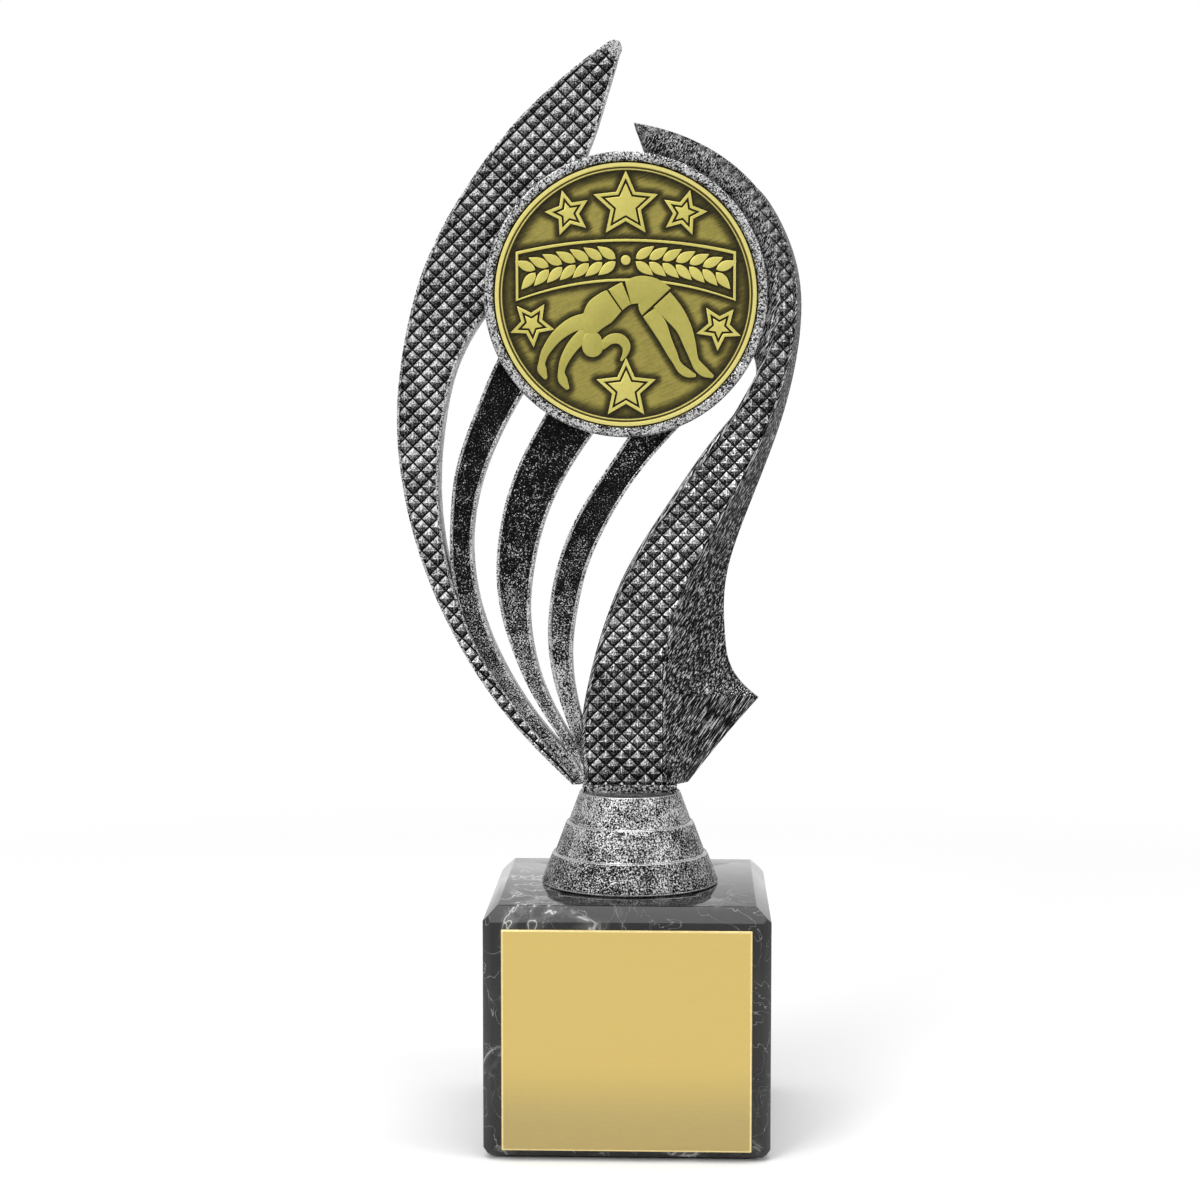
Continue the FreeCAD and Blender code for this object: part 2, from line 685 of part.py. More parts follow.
# each rib's left edge, right edge, front and back, from the cup to the foot
RIBS = {
    "rib_left": (
        [(-19.5, 93.5), (-25.5, 84.0), (-30.6, 72.4), (-34.0, 61.5), (-34.9, 50.0), (-34.8, 44.0),
         (-30.2, 27.9), (-21.2, 14.1), (-10.4, 0.0)],
        [(-13.0, 90.0), (-21.5, 76.3), (-27.3, 64.7), (-30.3, 53.0), (-30.5, 45.2), (-28.2, 33.5),
         (-22.8, 21.8), (-17.5, 13.9), (-9.2, 2.5), (-8.6, 0.0)],
        [-2.2, -2.4, -2.6, -2.8], [3.0, 3.1, 3.0, 2.8]),
    "rib_middle": (
        [(-10.5, 85.0), (-17.0, 72.4), (-21.1, 64.7), (-24.0, 56.9), (-25.8, 46.0), (-25.5, 37.4),
         (-23.5, 29.6), (-20.4, 21.8), (-15.9, 13.9), (-10.5, 4.0), (-9.8, 0.0)],
        [(2.0, 82.5), (-8.1, 68.5), (-13.0, 60.8), (-16.5, 53.0), (-18.8, 43.5), (-19.5, 35.5),
         (-19.0, 29.6), (-17.1, 21.8), (-13.4, 13.9), (-9.0, 5.0), (-8.4, 0.0)],
        [-2.3, -2.5, -2.6, -2.6], [3.1, 3.1, 2.9, 2.6]),
    "rib_right": (
        [(8.0, 81.0), (-0.8, 68.5), (-6.0, 60.8), (-10.7, 53.0), (-13.8, 45.2), (-15.7, 35.5),
         (-15.9, 29.6), (-14.8, 21.8), (-12.3, 13.9), (-10.2, 7.0), (-9.6, 0.0)],
        [(17.0, 80.0), (7.1, 68.5), (0.7, 60.8), (-4.1, 53.0), (-7.8, 45.2), (-10.3, 35.5),
         (-11.2, 27.6), (-10.9, 21.8), (-9.4, 14.5), (-7.4, 7.0), (-7.0, 0.0)],
        [-2.1, -2.3, -2.4, -2.3], [3.2, 3.2, 2.8, 2.4]),
}


def blade_tip():
    """The blunt round end of the blade."""
    thick = BLADE_BACK[0] - BLADE_FRONT[0]
    middle = drawn(*BLADE_TIP) + Vector(0, BLADE_FRONT[0], 0)
    return Part.makeCylinder(N["tip_radius"], thick, middle, Vector(0, 1, 0))


def polar(angle, radius):
    """A place around the medal's centre, at an angle in degrees from three o'clock."""
    turn = math.radians(angle)
    return MEDAL_AT + Vector(radius * math.cos(turn), 0, radius * math.sin(turn))


def ribbon_places():
    """Ridge, outer ridge and silhouette of the ribbon, from its free end over the medal to the foot."""
    ridge = CUP_RADIUS.value + N["ridge_offset"]
    outer = CUP_RADIUS.value + N["ribbon_offset"]
    arc = [(84.4, -0.1, 87.6, 0.7, 0.3), (71, 2.1, 71, 0.0, 0.3), (55, 1.2, 55, -0.1, 0.3),
           (39, 0.6, 39, 0.0, 0.3), (22, 0.2, 22, 0.1, 0.6), (3, 0.0, 3, 0.4, 0.9), (-13, 0.0, -13, 0.8, 1.2)]
    places = []
    for inner_turn, rise, outer_turn, spread, edge in arc:
        rim = outer + spread
        silhouette = polar(outer_turn, rim + edge)
        places.append((polar(inner_turn, ridge + rise), polar(outer_turn, rim), silhouette))
    places += [(drawn(*a), drawn(*b), drawn(*c)) for a, b, c in (
        ((24.8, 82.4), (29.3, 78.9), (30.8, 77.8)), ((18.2, 70.8), (24.6, 66.4), (26.7, 65.0)),
        ((8.6, 57.5), (17.2, 52.6), (21.1, 50.4)), ((4.0, 50.6), (14.0, 46.6), (19.3, 44.6)),
        ((-0.3, 43.4), (11.2, 40.8), (18.4, 39.2)), ((-5.0, 31.8), (7.9, 30.4), (18.6, 29.6)),
        ((-8.1, 19.8), (6.9, 19.4), (25.1, 18.2)), ((-9.1, 9.5), (7.0, 9.5), (17.7, 9.6)),
        ((-9.3, -0.5), (8.9, -0.5), (9.9, -0.5)))]
    return places


# front faces, backs and flanks at each of the ribbon's stations, from the free end to the foot
RIDGE_FRONT = [-5.6, -5.8, -6.0, -6.0, -5.8, -5.6, -5.4, -5.2, -5.0, -4.7, -4.4, -4.2, -3.8, -3.5, -3.2, -3.0]
OUTER_FRONT = [-0.4, -0.6, -1.0, -1.4, -1.7, -2.0, -2.4, -2.9, -3.4, -3.7, -3.7, -3.7, -3.5, -3.3, -3.1, -3.0]
RIBBON_BACK = [2.6, 3.0, 3.4, 3.6, 3.6, 3.6, 3.6, 3.6, 3.6, 3.6, 3.6, 3.5, 3.4, 3.2, 3.0, 3.0]
FLANK_REACH = [8.5, 8.5, 8.5, 8.0, 7.5, 7.5, 7.0, 0.6, 0.3, 0.3, 0.3, 0.3, 0.3, 0.3, 0.3, 0.3]
FLANK_SINK = [3.2, 3.4, 3.6, 3.6, 3.4, 3.2, 3.0, 0.6, 0.3, 0.3, 0.3, 0.3, 0.3, 0.3, 0.3, 0.3]
FIN_START = 3
FIN_CORNER = 13  # the station at which the fin comes to its point


def ribbon():
    """The right-hand band: a flank that rises from the cup, then the knurled panel between two ridges."""
    rings = []
    for k, (inner, outer, _) in enumerate(ribbon_places()):
        root = (FLANK_REACH[k], RIDGE_FRONT[k] + FLANK_SINK[k])
        rings.append(section(inner, outer, RIDGE_FRONT[k], OUTER_FRONT[k], RIBBON_BACK[k],
                             N["panel_rim"], N["panel_depth"], root))
    return lofted(rings)


def fin():
    """The smooth outer flank: it widens below the medal and comes to a point above the foot."""
    places = ribbon_places()

    def ring_at(k):
        inner, outer, edge = places[k]
        way = (edge - outer) / (edge - outer).Length
        inside = outer - way * 1.5
        front, back = OUTER_FRONT[k], RIBBON_BACK[k]
        low = back - 1.6
        corners = [inside + Vector(0, front + 0.7, 0), outer + Vector(0, front, 0), edge + Vector(0, low, 0),
                   edge + Vector(0, back - 0.1, 0), inside + Vector(0, back - 0.1, 0)]
        return Part.makePolygon(corners + corners[:1])

    upper = lofted([ring_at(k) for k in range(FIN_START, FIN_CORNER + 1)])
    lower = lofted([ring_at(k) for k in range(FIN_CORNER, len(places))])
    return upper.fuse(lower)


def figure():
    panel = (N["panel_rim"], N["panel_depth"])
    groove = (N["rib_rim"], N["rib_depth"])
    blade = band(BLADE_OUTER, BLADE_INNER, BLADE_FRONT, BLADE_BACK, *panel, 19).fuse(blade_tip())
    strip = ribbon()
    settle("left_blade", blade, [])
    settle("ribbon", strip, [])
    settle("fin", fin(), [strip])
    met = [blade, strip]
    for label, (left, right, front, back) in RIBS.items():
        rib = band(left, right, front, back, *groove, 13)
        settle(label, rib, met)
        met.append(rib)


PIECES = ["felt_pad", "marble_base", "plate_tape", "engraving_plate", "base_washer", "spring_washer",
          "base_nut", "tie_rod", "captive_nut", "riser_skirt", "figure_foot", "medal_cup", "medal_pad",
          "medal", "left_blade", "rib_left", "rib_middle", "rib_right", "ribbon", "fin"]


def build():
    felt_pad()
    marble_base()
    plate_and_tape()
    ring("base_washer", S["washer_radius"], S["washer_thickness"], SPRING_TOP)
    spring_washer()
    hex_nut("base_nut", NUT_TOP - S["nut_height"])
    hex_nut("captive_nut", RISER_TOP - S["spigot_length"])
    tie_rod()
    riser_skirt()
    figure_foot()
    medal_cup()
    medal_pad()
    medal()
    figure()
    doc.recompute()


def export():
    for thing in doc.Objects:
        if {"Invalid", "Error"} & set(thing.State):
            raise RuntimeError(f"{thing.Name} failed: {thing.State}")
    os.makedirs("parts", exist_ok=True)
    for label in PIECES:
        shape = doc.getObjectsByLabel(label)[0].Shape
        if shape.isNull() or not shape.isValid() or not shape.Solids:
            raise RuntimeError(f"{label} is not a sound solid")
        shape.exportStep(os.path.join("parts", f"{label}.step"))
        box = shape.BoundBox
        print(f"{label:16s} {len(shape.Solids)} solid {shape.Volume:10.1f} mm3, "
              f"{box.XLength:.1f} x {box.YLength:.1f} x {box.ZLength:.1f} mm")


build()
export()
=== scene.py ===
import bmesh
import bpy
import math
from mathutils import Matrix, Vector, kdtree


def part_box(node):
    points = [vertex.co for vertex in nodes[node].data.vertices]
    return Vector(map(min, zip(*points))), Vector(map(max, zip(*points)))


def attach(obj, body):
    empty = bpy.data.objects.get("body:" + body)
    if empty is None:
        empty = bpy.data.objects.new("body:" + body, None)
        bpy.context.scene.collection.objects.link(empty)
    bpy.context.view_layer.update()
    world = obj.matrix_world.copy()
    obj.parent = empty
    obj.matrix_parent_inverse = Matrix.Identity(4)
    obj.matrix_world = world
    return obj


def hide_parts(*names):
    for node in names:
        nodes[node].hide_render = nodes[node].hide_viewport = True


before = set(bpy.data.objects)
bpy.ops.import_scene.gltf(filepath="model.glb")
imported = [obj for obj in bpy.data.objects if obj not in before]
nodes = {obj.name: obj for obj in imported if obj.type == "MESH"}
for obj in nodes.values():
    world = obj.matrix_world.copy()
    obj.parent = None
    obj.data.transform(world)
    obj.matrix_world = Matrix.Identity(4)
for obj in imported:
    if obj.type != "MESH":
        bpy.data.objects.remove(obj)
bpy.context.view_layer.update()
mm = 0.001


class Flow:  # a socket of a node tree that takes part in Python expressions
    def __init__(self, tree, socket):
        self.tree = tree
        self.socket = socket

    def make(self, kind, settings=None, inputs=None, out=0):  # settings first, then values or links
        node = self.tree.nodes.new(kind)
        for name, value in (settings or {}).items():
            if name == "stops":
                fillRamp(node.color_ramp, value)
            else:
                setattr(node, name, value)
        for key, value in (inputs or {}).items():
            if isinstance(value, Flow):
                self.tree.links.new(value.socket, node.inputs[key])
            else:
                node.inputs[key].default_value = value
        return Flow(self.tree, node.outputs[out])

    def maths(self, operation, *values):
        return self.make("ShaderNodeMath", {"operation": operation}, dict(enumerate(values)))

    def __add__(self, other):
        return self.maths("ADD", self, other)

    def __radd__(self, other):
        return self.maths("ADD", other, self)

    def __sub__(self, other):
        return self.maths("SUBTRACT", self, other)

    def __rsub__(self, other):
        return self.maths("SUBTRACT", other, self)

    def __mul__(self, other):
        return self.maths("MULTIPLY", self, other)

    def __rmul__(self, other):
        return self.maths("MULTIPLY", other, self)

    def __truediv__(self, other):
        return self.maths("DIVIDE", self, other)

    def __abs__(self):
        return self.maths("ABSOLUTE", self)

    def root(self):
        return self.maths("SQRT", self)

    def least(self, other):
        return self.maths("MINIMUM", self, other)

    def most(self, other):
        return self.maths("MAXIMUM", self, other)

    def step(self, low, high):  # 0 below low and 1 above high, smooth between; low may be the larger
        inputs = {"Value": self, "From Min": low, "From Max": high}
        return self.make("ShaderNodeMapRange", {"interpolation_type": "SMOOTHSTEP"}, inputs)

    def colours(self, *stops):  # a ramp of (place, colour)
        return self.make("ShaderNodeValToRGB", {"stops": stops}, {"Fac": self})

    def mix(self, first, second):  # this socket fades from one colour to the other
        inputs = {0: self, 6: first, 7: second}
        return self.make("ShaderNodeMix", {"data_type": "RGBA"}, inputs, 2)

    def stretched(self, x, y, z):  # this vector with each axis scaled
        return self.make("ShaderNodeVectorMath", {"operation": "MULTIPLY"}, {0: self, 1: (x, y, z)})

    def noise(self, scale, detail=2.0, rough=0.5, twist=0.0):
        inputs = {"Vector": self, "Scale": scale, "Detail": detail, "Roughness": rough, "Distortion": twist}
        return self.make("ShaderNodeTexNoise", {}, inputs)

    def bump(self, strength, distance):
        return self.make("ShaderNodeBump", {}, {"Strength": strength, "Distance": distance, "Height": self})


def fillRamp(ramp, stops):
    while len(ramp.elements) < len(stops):
        ramp.elements.new(1.0)
    for element, (place, colour) in zip(ramp.elements, stops):
        element.position = place
        element.color = (*colour, 1.0)


def grey(value):
    return (value, value, value)


def rgba(colour):
    return (*colour, 1.0)


class Finish:  # a material with one Principled shader, and where on the object a point lies
    def __init__(self, name, **fixed):
        self.material = bpy.data.materials.new(name)
        self.material.use_nodes = True
        self.tree = self.material.node_tree
        self.shader = self.tree.nodes["Principled BSDF"]
        place = self.tree.nodes.new("ShaderNodeTexCoord")
        self.place = Flow(self.tree, place.outputs["Object"])
        axes = self.place.make("ShaderNodeSeparateXYZ", {}, {0: self.place})
        self.x, self.y, self.z = (Flow(self.tree, axes.socket.node.outputs[k]) for k in range(3))
        self.set(**fixed)

    def set(self, **sockets):  # Base_Color=... sets or links the shader's socket "Base Color"
        for name, value in sockets.items():
            socket = self.shader.inputs[name.replace("_", " ")]
            if isinstance(value, Flow):
                self.tree.links.new(value.socket, socket)
            else:
                socket.default_value = value
        return self

    def vector(self, x, y, z):
        return self.place.make("ShaderNodeCombineXYZ", {}, {0: x, 1: y, 2: z})


def newObject(name, mesh):
    piece = bpy.data.objects.new(name, mesh)
    bpy.context.scene.collection.objects.link(piece)
    return piece


def bakeModifiers(piece):  # turns a piece and its modifiers into a plain mesh
    bpy.context.view_layer.update()
    graph = bpy.context.evaluated_depsgraph_get()
    mesh = bpy.data.meshes.new_from_object(piece.evaluated_get(graph), depsgraph=graph)
    old = piece.data
    piece.modifiers.clear()
    piece.data = mesh
    if old.users == 0 and isinstance(old, bpy.types.Mesh):
        bpy.data.meshes.remove(old)


def smoothShade(mesh, degrees):  # smooth, with sharp edges where faces turn by more than this
    for face in mesh.polygons:
        face.use_smooth = True
    mesh.set_sharp_from_angle(angle=math.radians(degrees))


def ride(piece, body):
    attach(piece, body)


def discard(piece):
    mesh = piece.data
    bpy.data.objects.remove(piece)
    bpy.data.meshes.remove(mesh)


def mergedCopy(node, name):  # a copy of a CAD node's loose triangles, sewn together
    mesh = nodes[node].data.copy()
    mesh.name = name
    work = bmesh.new()
    work.from_mesh(mesh)
    bmesh.ops.remove_doubles(work, verts=work.verts, dist=1e-6)
    for layer in list(work.loops.layers.uv):
        work.loops.layers.uv.remove(layer)
    bmesh.ops.recalc_face_normals(work, faces=work.faces)
    work.to_mesh(mesh)
    work.free()
    mesh.materials.clear()
    return newObject(name, mesh)


def turned(name, profile, segments, middle):  # a closed lathe shape of (radius, height), turned about -Y
    work = bmesh.new()
    rings = []
    for radius, height in profile:
        ring = []
        for k in range(segments if radius > 0 else 1):
            angle = 2 * math.pi * k / segments
            spot = Vector((radius * math.cos(angle), -height, radius * math.sin(angle)))
            ring.append(work.verts.new(spot + middle))
        rings.append(ring)
    for low, high in zip(rings, rings[1:] + rings[:1]):
        if len(low) == 1 and len(high) == 1:
            continue
        for k in range(segments):
            after = k + 1
            corners = [low[k % len(low)], low[after % len(low)], high[after % len(high)], high[k % len(high)]]
            work.faces.new(list(dict.fromkeys(corners)))
    bmesh.ops.recalc_face_normals(work, faces=work.faces)
    mesh = bpy.data.meshes.new(name)
    work.to_mesh(mesh)
    work.free()
    smoothShade(mesh, 40)
    return newObject(name, mesh)


def rounded(corners, radius, steps=3):  # a profile whose inner corners are softened
    points = [corners[0]]
    for before, here, after in zip(corners, corners[1:], corners[2:]):
        spot = Vector(here)
        back = Vector(before) - spot
        ahead = Vector(after) - spot
        reach = min(radius, back.length * 0.49, ahead.length * 0.49)
        start = spot + back.normalized() * reach
        end = spot + ahead.normalized() * reach
        for k in range(steps + 1):
            t = k / steps
            points.append(tuple(start.lerp(spot, t).lerp(spot.lerp(end, t), t)))
    points.append(corners[-1])
    return points


# place in mm, lean in degrees, lens in mm
view = {"place": (10.9, -482.9, 141.4), "down": 4.5, "left": 1.99, "lens": 74.6}


def makeCamera():
    data = bpy.data.cameras.new("camera")
    data.lens = view["lens"]
    data.sensor_width = 36
    camera = bpy.data.objects.new("camera", data)
    camera.location = Vector(view["place"]) * mm
    camera.rotation_euler = (math.radians(90 - view["down"]), 0, math.radians(view["left"]))
    bpy.context.scene.collection.objects.link(camera)
    bpy.context.scene.camera = camera


studio = {  # world: its light; seen: as it looks behind the object; fade: where the floor turns plain white
    "world": 0.5, "seen": 1.0, "paper": 0.92, "fade": (0.16, 0.42), "floor": 3.0,
    "lamps": {  # place and aim in metres, width and height in metres, watts
        "key": ((-0.55, -0.75, 0.75), (0, 0, 0.1), (0.55, 0.55), 5.2),
        "side": ((0.75, -0.35, 0.45), (0, 0, 0.1), (0.3, 0.6), 2.0),
        "above": ((0.0, -0.12, 0.85), (0, 0, 0.05), (0.75, 0.75), 4.5)}}


def shownRays(tree):  # 1 for the rays that show the background: straight, mirrored or through glass
    path = tree.nodes.new("ShaderNodeLightPath")
    camera, glossy, through = (
        Flow(tree, path.outputs[name]) for name in ("Is Camera Ray", "Is Glossy Ray", "Is Transmission Ray"))
    return camera.most(glossy).most(through)


def makeWorld():
    scene = bpy.context.scene
    scene.view_settings.view_transform = "Standard"
    world = bpy.data.worlds.new("studio")
    scene.world = world
    world.use_nodes = True
    tree = world.node_tree
    strength = studio["world"] + shownRays(tree) * (studio["seen"] - studio["world"])
    background = tree.nodes["Background"]
    tree.links.new(strength.socket, background.inputs["Strength"])
    background.inputs["Color"].default_value = rgba(grey(1.0))


def floorPaper():  # pale paper with the object's shadow, fading into the white background
    paper = Finish("floorPaper", Roughness=0.9, Specular_IOR_Level=0.1)
    paper.set(Base_Color=rgba(grey(studio["paper"])))
    away = (paper.x * paper.x + paper.y * paper.y).step(*(reach * reach for reach in studio["fade"]))
    glow = paper.place.make("ShaderNodeEmission", {}, {"Color": rgba(grey(1.0)), "Strength": studio["seen"]})
    lit = Flow(paper.tree, paper.shader.outputs[0])
    blend = paper.place.make("ShaderNodeMixShader", {}, {0: away * shownRays(paper.tree), 1: lit, 2: glow})
    paper.tree.links.new(blend.socket, paper.tree.nodes["Material Output"].inputs["Surface"])
    return paper.material


def makeFloor():
    size = studio["floor"]
    corners = [(-size, -size, 0), (size, -size, 0), (size, size, 0), (-size, size, 0)]
    mesh = bpy.data.meshes.new("floor")
    mesh.from_pydata(corners, [], [(0, 1, 2, 3)])
    mesh.materials.append(floorPaper())
    newObject("floor", mesh)


def makeLamps():
    for name, (place, aim, size, power) in studio["lamps"].items():
        data = bpy.data.lights.new(name, "AREA")
        data.shape = "RECTANGLE"
        data.size, data.size_y = size
        data.energy = power
        lamp = newObject(name, data)
        lamp.location = place
        lamp.rotation_euler = (Vector(aim) - Vector(place)).to_track_quat("-Z", "Y").to_euler()
        lamp.visible_camera = False
    print("studio made")


silver = {  # wash to bare: how light the metal is; grain per metre; cover: how much is bare, about 0.3 to 0.6
    "wash": 0.006, "half": 0.16, "bare": 0.57, "grain": 3300.0, "soft": 0.068, "blotch": 300.0,
    "rough": 0.3, "washRough": 0.22, "bump": 0.45, "depth": 0.12 * mm,
    # edge: the softened edges, rubbed bare and with a painted highlight
    "cover": {"edge": 0.60, "blade": 0.50, "ribRim": 0.51, "foot": 0.46, "ribbon": 0.465, "fin": 0.43},
    # ribs: painted shade, near black under the medal and lighter towards the foot
    "ribCoverWithPaintedShade": (0.37, 0.485), "ribShadeFade": (0.121, 0.080),
    # bezel: a painted highlight, brighter towards its rim
    # riser: darker towards its foot, lighter towards its top
    "riserToneByHeight": (0.455, 0.495), "bezelCoverWithPaintedHighlight": (0.42, 0.50), "bezelHighlightFade": (0.90, 0.965)}
brushed = {  # marks on the front that lean by degrees, with their width and length
    "ribbon": (62, 0.20 * mm, 2.6 * mm), "fin": (56, 0.20 * mm, 3.0 * mm), "field": (25, 0.35 * mm, 3.0 * mm)}


def bareMetal(amount):  # 0 is the dark wash, 1 is silver rubbed bare
    wash, half, bare = (grey(silver[name]) for name in ("wash", "half", "bare"))
    return amount.colours((0.0, wash), (0.5, half), (1.0, bare))


def flecks(pattern, cover, soft):  # where a pattern's peaks stand out of the wash
    return (pattern + cover).step(1 - soft, 1 + soft)


def strokes(finish, degrees, width, length):
    turn = math.radians(degrees)
    along = finish.x * math.cos(turn) + finish.z * math.sin(turn)
    across = finish.z * math.cos(turn) - finish.x * math.sin(turn)
    return finish.vector(along / length, across / width, finish.y / width).noise(1.0, 2.0, 0.6, 0.4)


def fromMiddle(finish, node):  # how far a point lies from a round node's middle: 1 at its rim
    low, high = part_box(node)
    x = finish.x - (low.x + high.x) / 2
    z = finish.z - (low.z + high.z) / 2
    return (x * x + z * z).root() / ((high.x - low.x) / 2)


def between(amount, ends):
    return ends[0] + amount * (ends[1] - ends[0])


def silverGrain(finish):
    return finish.place.noise(silver["grain"], 3.0, 0.72)


def castSilver(name, cover, rough=0):  # cover: a number, or a function of the finish
    finish = Finish(name + "Silver", Metallic=1.0)
    grain = silverGrain(finish)
    blotch = finish.place.noise(silver["blotch"], 2.0, 0.5)
    pattern, patchy = grain, 0.2
    if name in brushed:
        pattern, patchy = grain * 0.2 + strokes(finish, *brushed[name]) * 0.8, 0.08
    bare = cover if isinstance(cover, float) else cover(finish)
    amount = flecks(pattern, bare + (blotch - 0.5) * patchy, silver["soft"])
    bump = (amount + grain * 0.5).bump(silver["bump"], silver["depth"])
    roughness = silver["rough"] + rough + (1 - amount) * silver["washRough"]
    return finish.set(Base_Color=bareMetal(amount), Roughness=roughness, Normal=bump).material


def ribCoverWithPaintedShade(finish):  # painted shade: near black under the medal's bezel, lighter towards the foot
    return between(finish.z.step(*silver["ribShadeFade"]), silver["ribCoverWithPaintedShade"])


# darker towards its foot, lighter towards its top
def riserToneByHeight(finish):
    low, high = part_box("riser_skirt")
    return between(finish.z.step(low.z, high.z), silver["riserToneByHeight"])


def bezelCoverWithPaintedHighlight(finish):  # a painted highlight: brighter towards its rim
    return between(fromMiddle(finish, "medal_cup").step(*silver["bezelHighlightFade"]), silver["bezelCoverWithPaintedHighlight"])


def makeSilver():
    finishes = {name: castSilver(name, cover) for name, cover in silver["cover"].items() if name != "edge"}
    # softened edges: rubbed bare, with a painted highlight
    finishes["edge"] = castSilver("edge", silver["cover"]["edge"], -0.04)
    finishes["rib"] = castSilver("rib", ribCoverWithPaintedShade)
    finishes["riser"] = castSilver("riser", riserToneByHeight, 0.02)
    finishes["bezel"] = castSilver("bezel", bezelCoverWithPaintedHighlight)
    return finishes


knurl = {  # reach: in pitches, how far past the panel a tile may stand; trim: above and below the panel
    "pitch": 3.1 * mm, "height": 0.62 * mm, "sink": 0.3 * mm, "flat": 0.09, "reach": 0.85, "panelTurn": 25,
    "trim": (1.4 * mm, 0.22 * mm), "soft": 0.14, "groove": (0.47, 0.41), "blotch": 160.0}


def panelOf(piece, seed, name):  # the smooth region of faces around the face that a ray from the front hits
    bpy.context.view_layer.update()
    hit, spot, normal, index = piece.ray_cast(Vector((seed[0], -0.1, seed[1])), Vector((0, 1, 0)))
    work = bmesh.new()
    work.from_mesh(piece.data)
    work.faces.ensure_lookup_table()
    found, todo = set(), [work.faces[index]]
    while todo:
        face = todo.pop()
        if face in found:
            continue
        found.add(face)
        for edge in face.edges:
            if len(edge.link_faces) == 2 and edge.calc_face_angle() < math.radians(knurl["panelTurn"]):
                todo += [f for f in edge.link_faces if f not in found]
    bmesh.ops.delete(work, geom=[f for f in work.faces if f not in found], context="FACES")
    work.normal_update()
    mesh = bpy.data.meshes.new(name)
    work.to_mesh(mesh)
    lift = mesh.attributes.new("lift", "FLOAT_VECTOR", "POINT")
    for k, vertex in enumerate(work.verts):
        lift.data[k].vector = vertex.normal
    work.free()
    return newObject(name, mesh)


def prismOf(panel, name):  # the panel thickened along its normals, to trim the knurl with
    work = bmesh.new()
    work.from_mesh(panel.data)
    work.normal_update()
    out = {v: v.normal.copy() for v in work.verts}
    made = bmesh.ops.extrude_face_region(work, geom=list(work.faces), use_keep_orig=True)
    copies = [v for v in made["geom"] if isinstance(v, bmesh.types.BMVert)]
    normals = kdtree.KDTree(len(out))
    keys = list(out)
    for k, vertex in enumerate(keys):
        normals.insert(vertex.co, k)
    normals.balance()
    above, below = knurl["trim"]
    for vertex in copies:
        vertex.co += out[keys[normals.find(vertex.co)[1]]] * above
    for vertex, normal in out.items():
        vertex.co -= normal * below
    bmesh.ops.recalc_face_normals(work, faces=work.faces)
    mesh = bpy.data.meshes.new(name)
    work.to_mesh(mesh)
    work.free()
    return newObject(name, mesh)


def tileMesh():  # one pyramid of the knurl on a diamond base, its point towards -Y
    half = knurl["pitch"] / 2
    flat = knurl["flat"]
    corners = [(half, 0), (half / 2, half / 2), (0, half), (-half / 2, half / 2),
               (-half, 0), (-half / 2, -half / 2), (0, -half), (half / 2, -half / 2)]
    points = [(x, knurl["sink"], z) for x, z in corners] + [(x, 0, z) for x, z in corners]
    points += [(x * flat, -knurl["height"], z * flat) for x, z in corners]
    faces = [tuple(range(8)), tuple(range(23, 15, -1))]
    for low in (0, 8):
        faces += [(low + k, low + 8 + k, low + 8 + (k + 1) % 8, low + (k + 1) % 8) for k in range(8)]
    mesh = bpy.data.meshes.new("knurlTile")
    mesh.from_pydata(points, [], faces)
    work = bmesh.new()
    work.from_mesh(mesh)
    bmesh.ops.recalc_face_normals(work, faces=work.faces)
    work.to_mesh(mesh)
    work.free()
    return newObject("knurlTile", mesh)


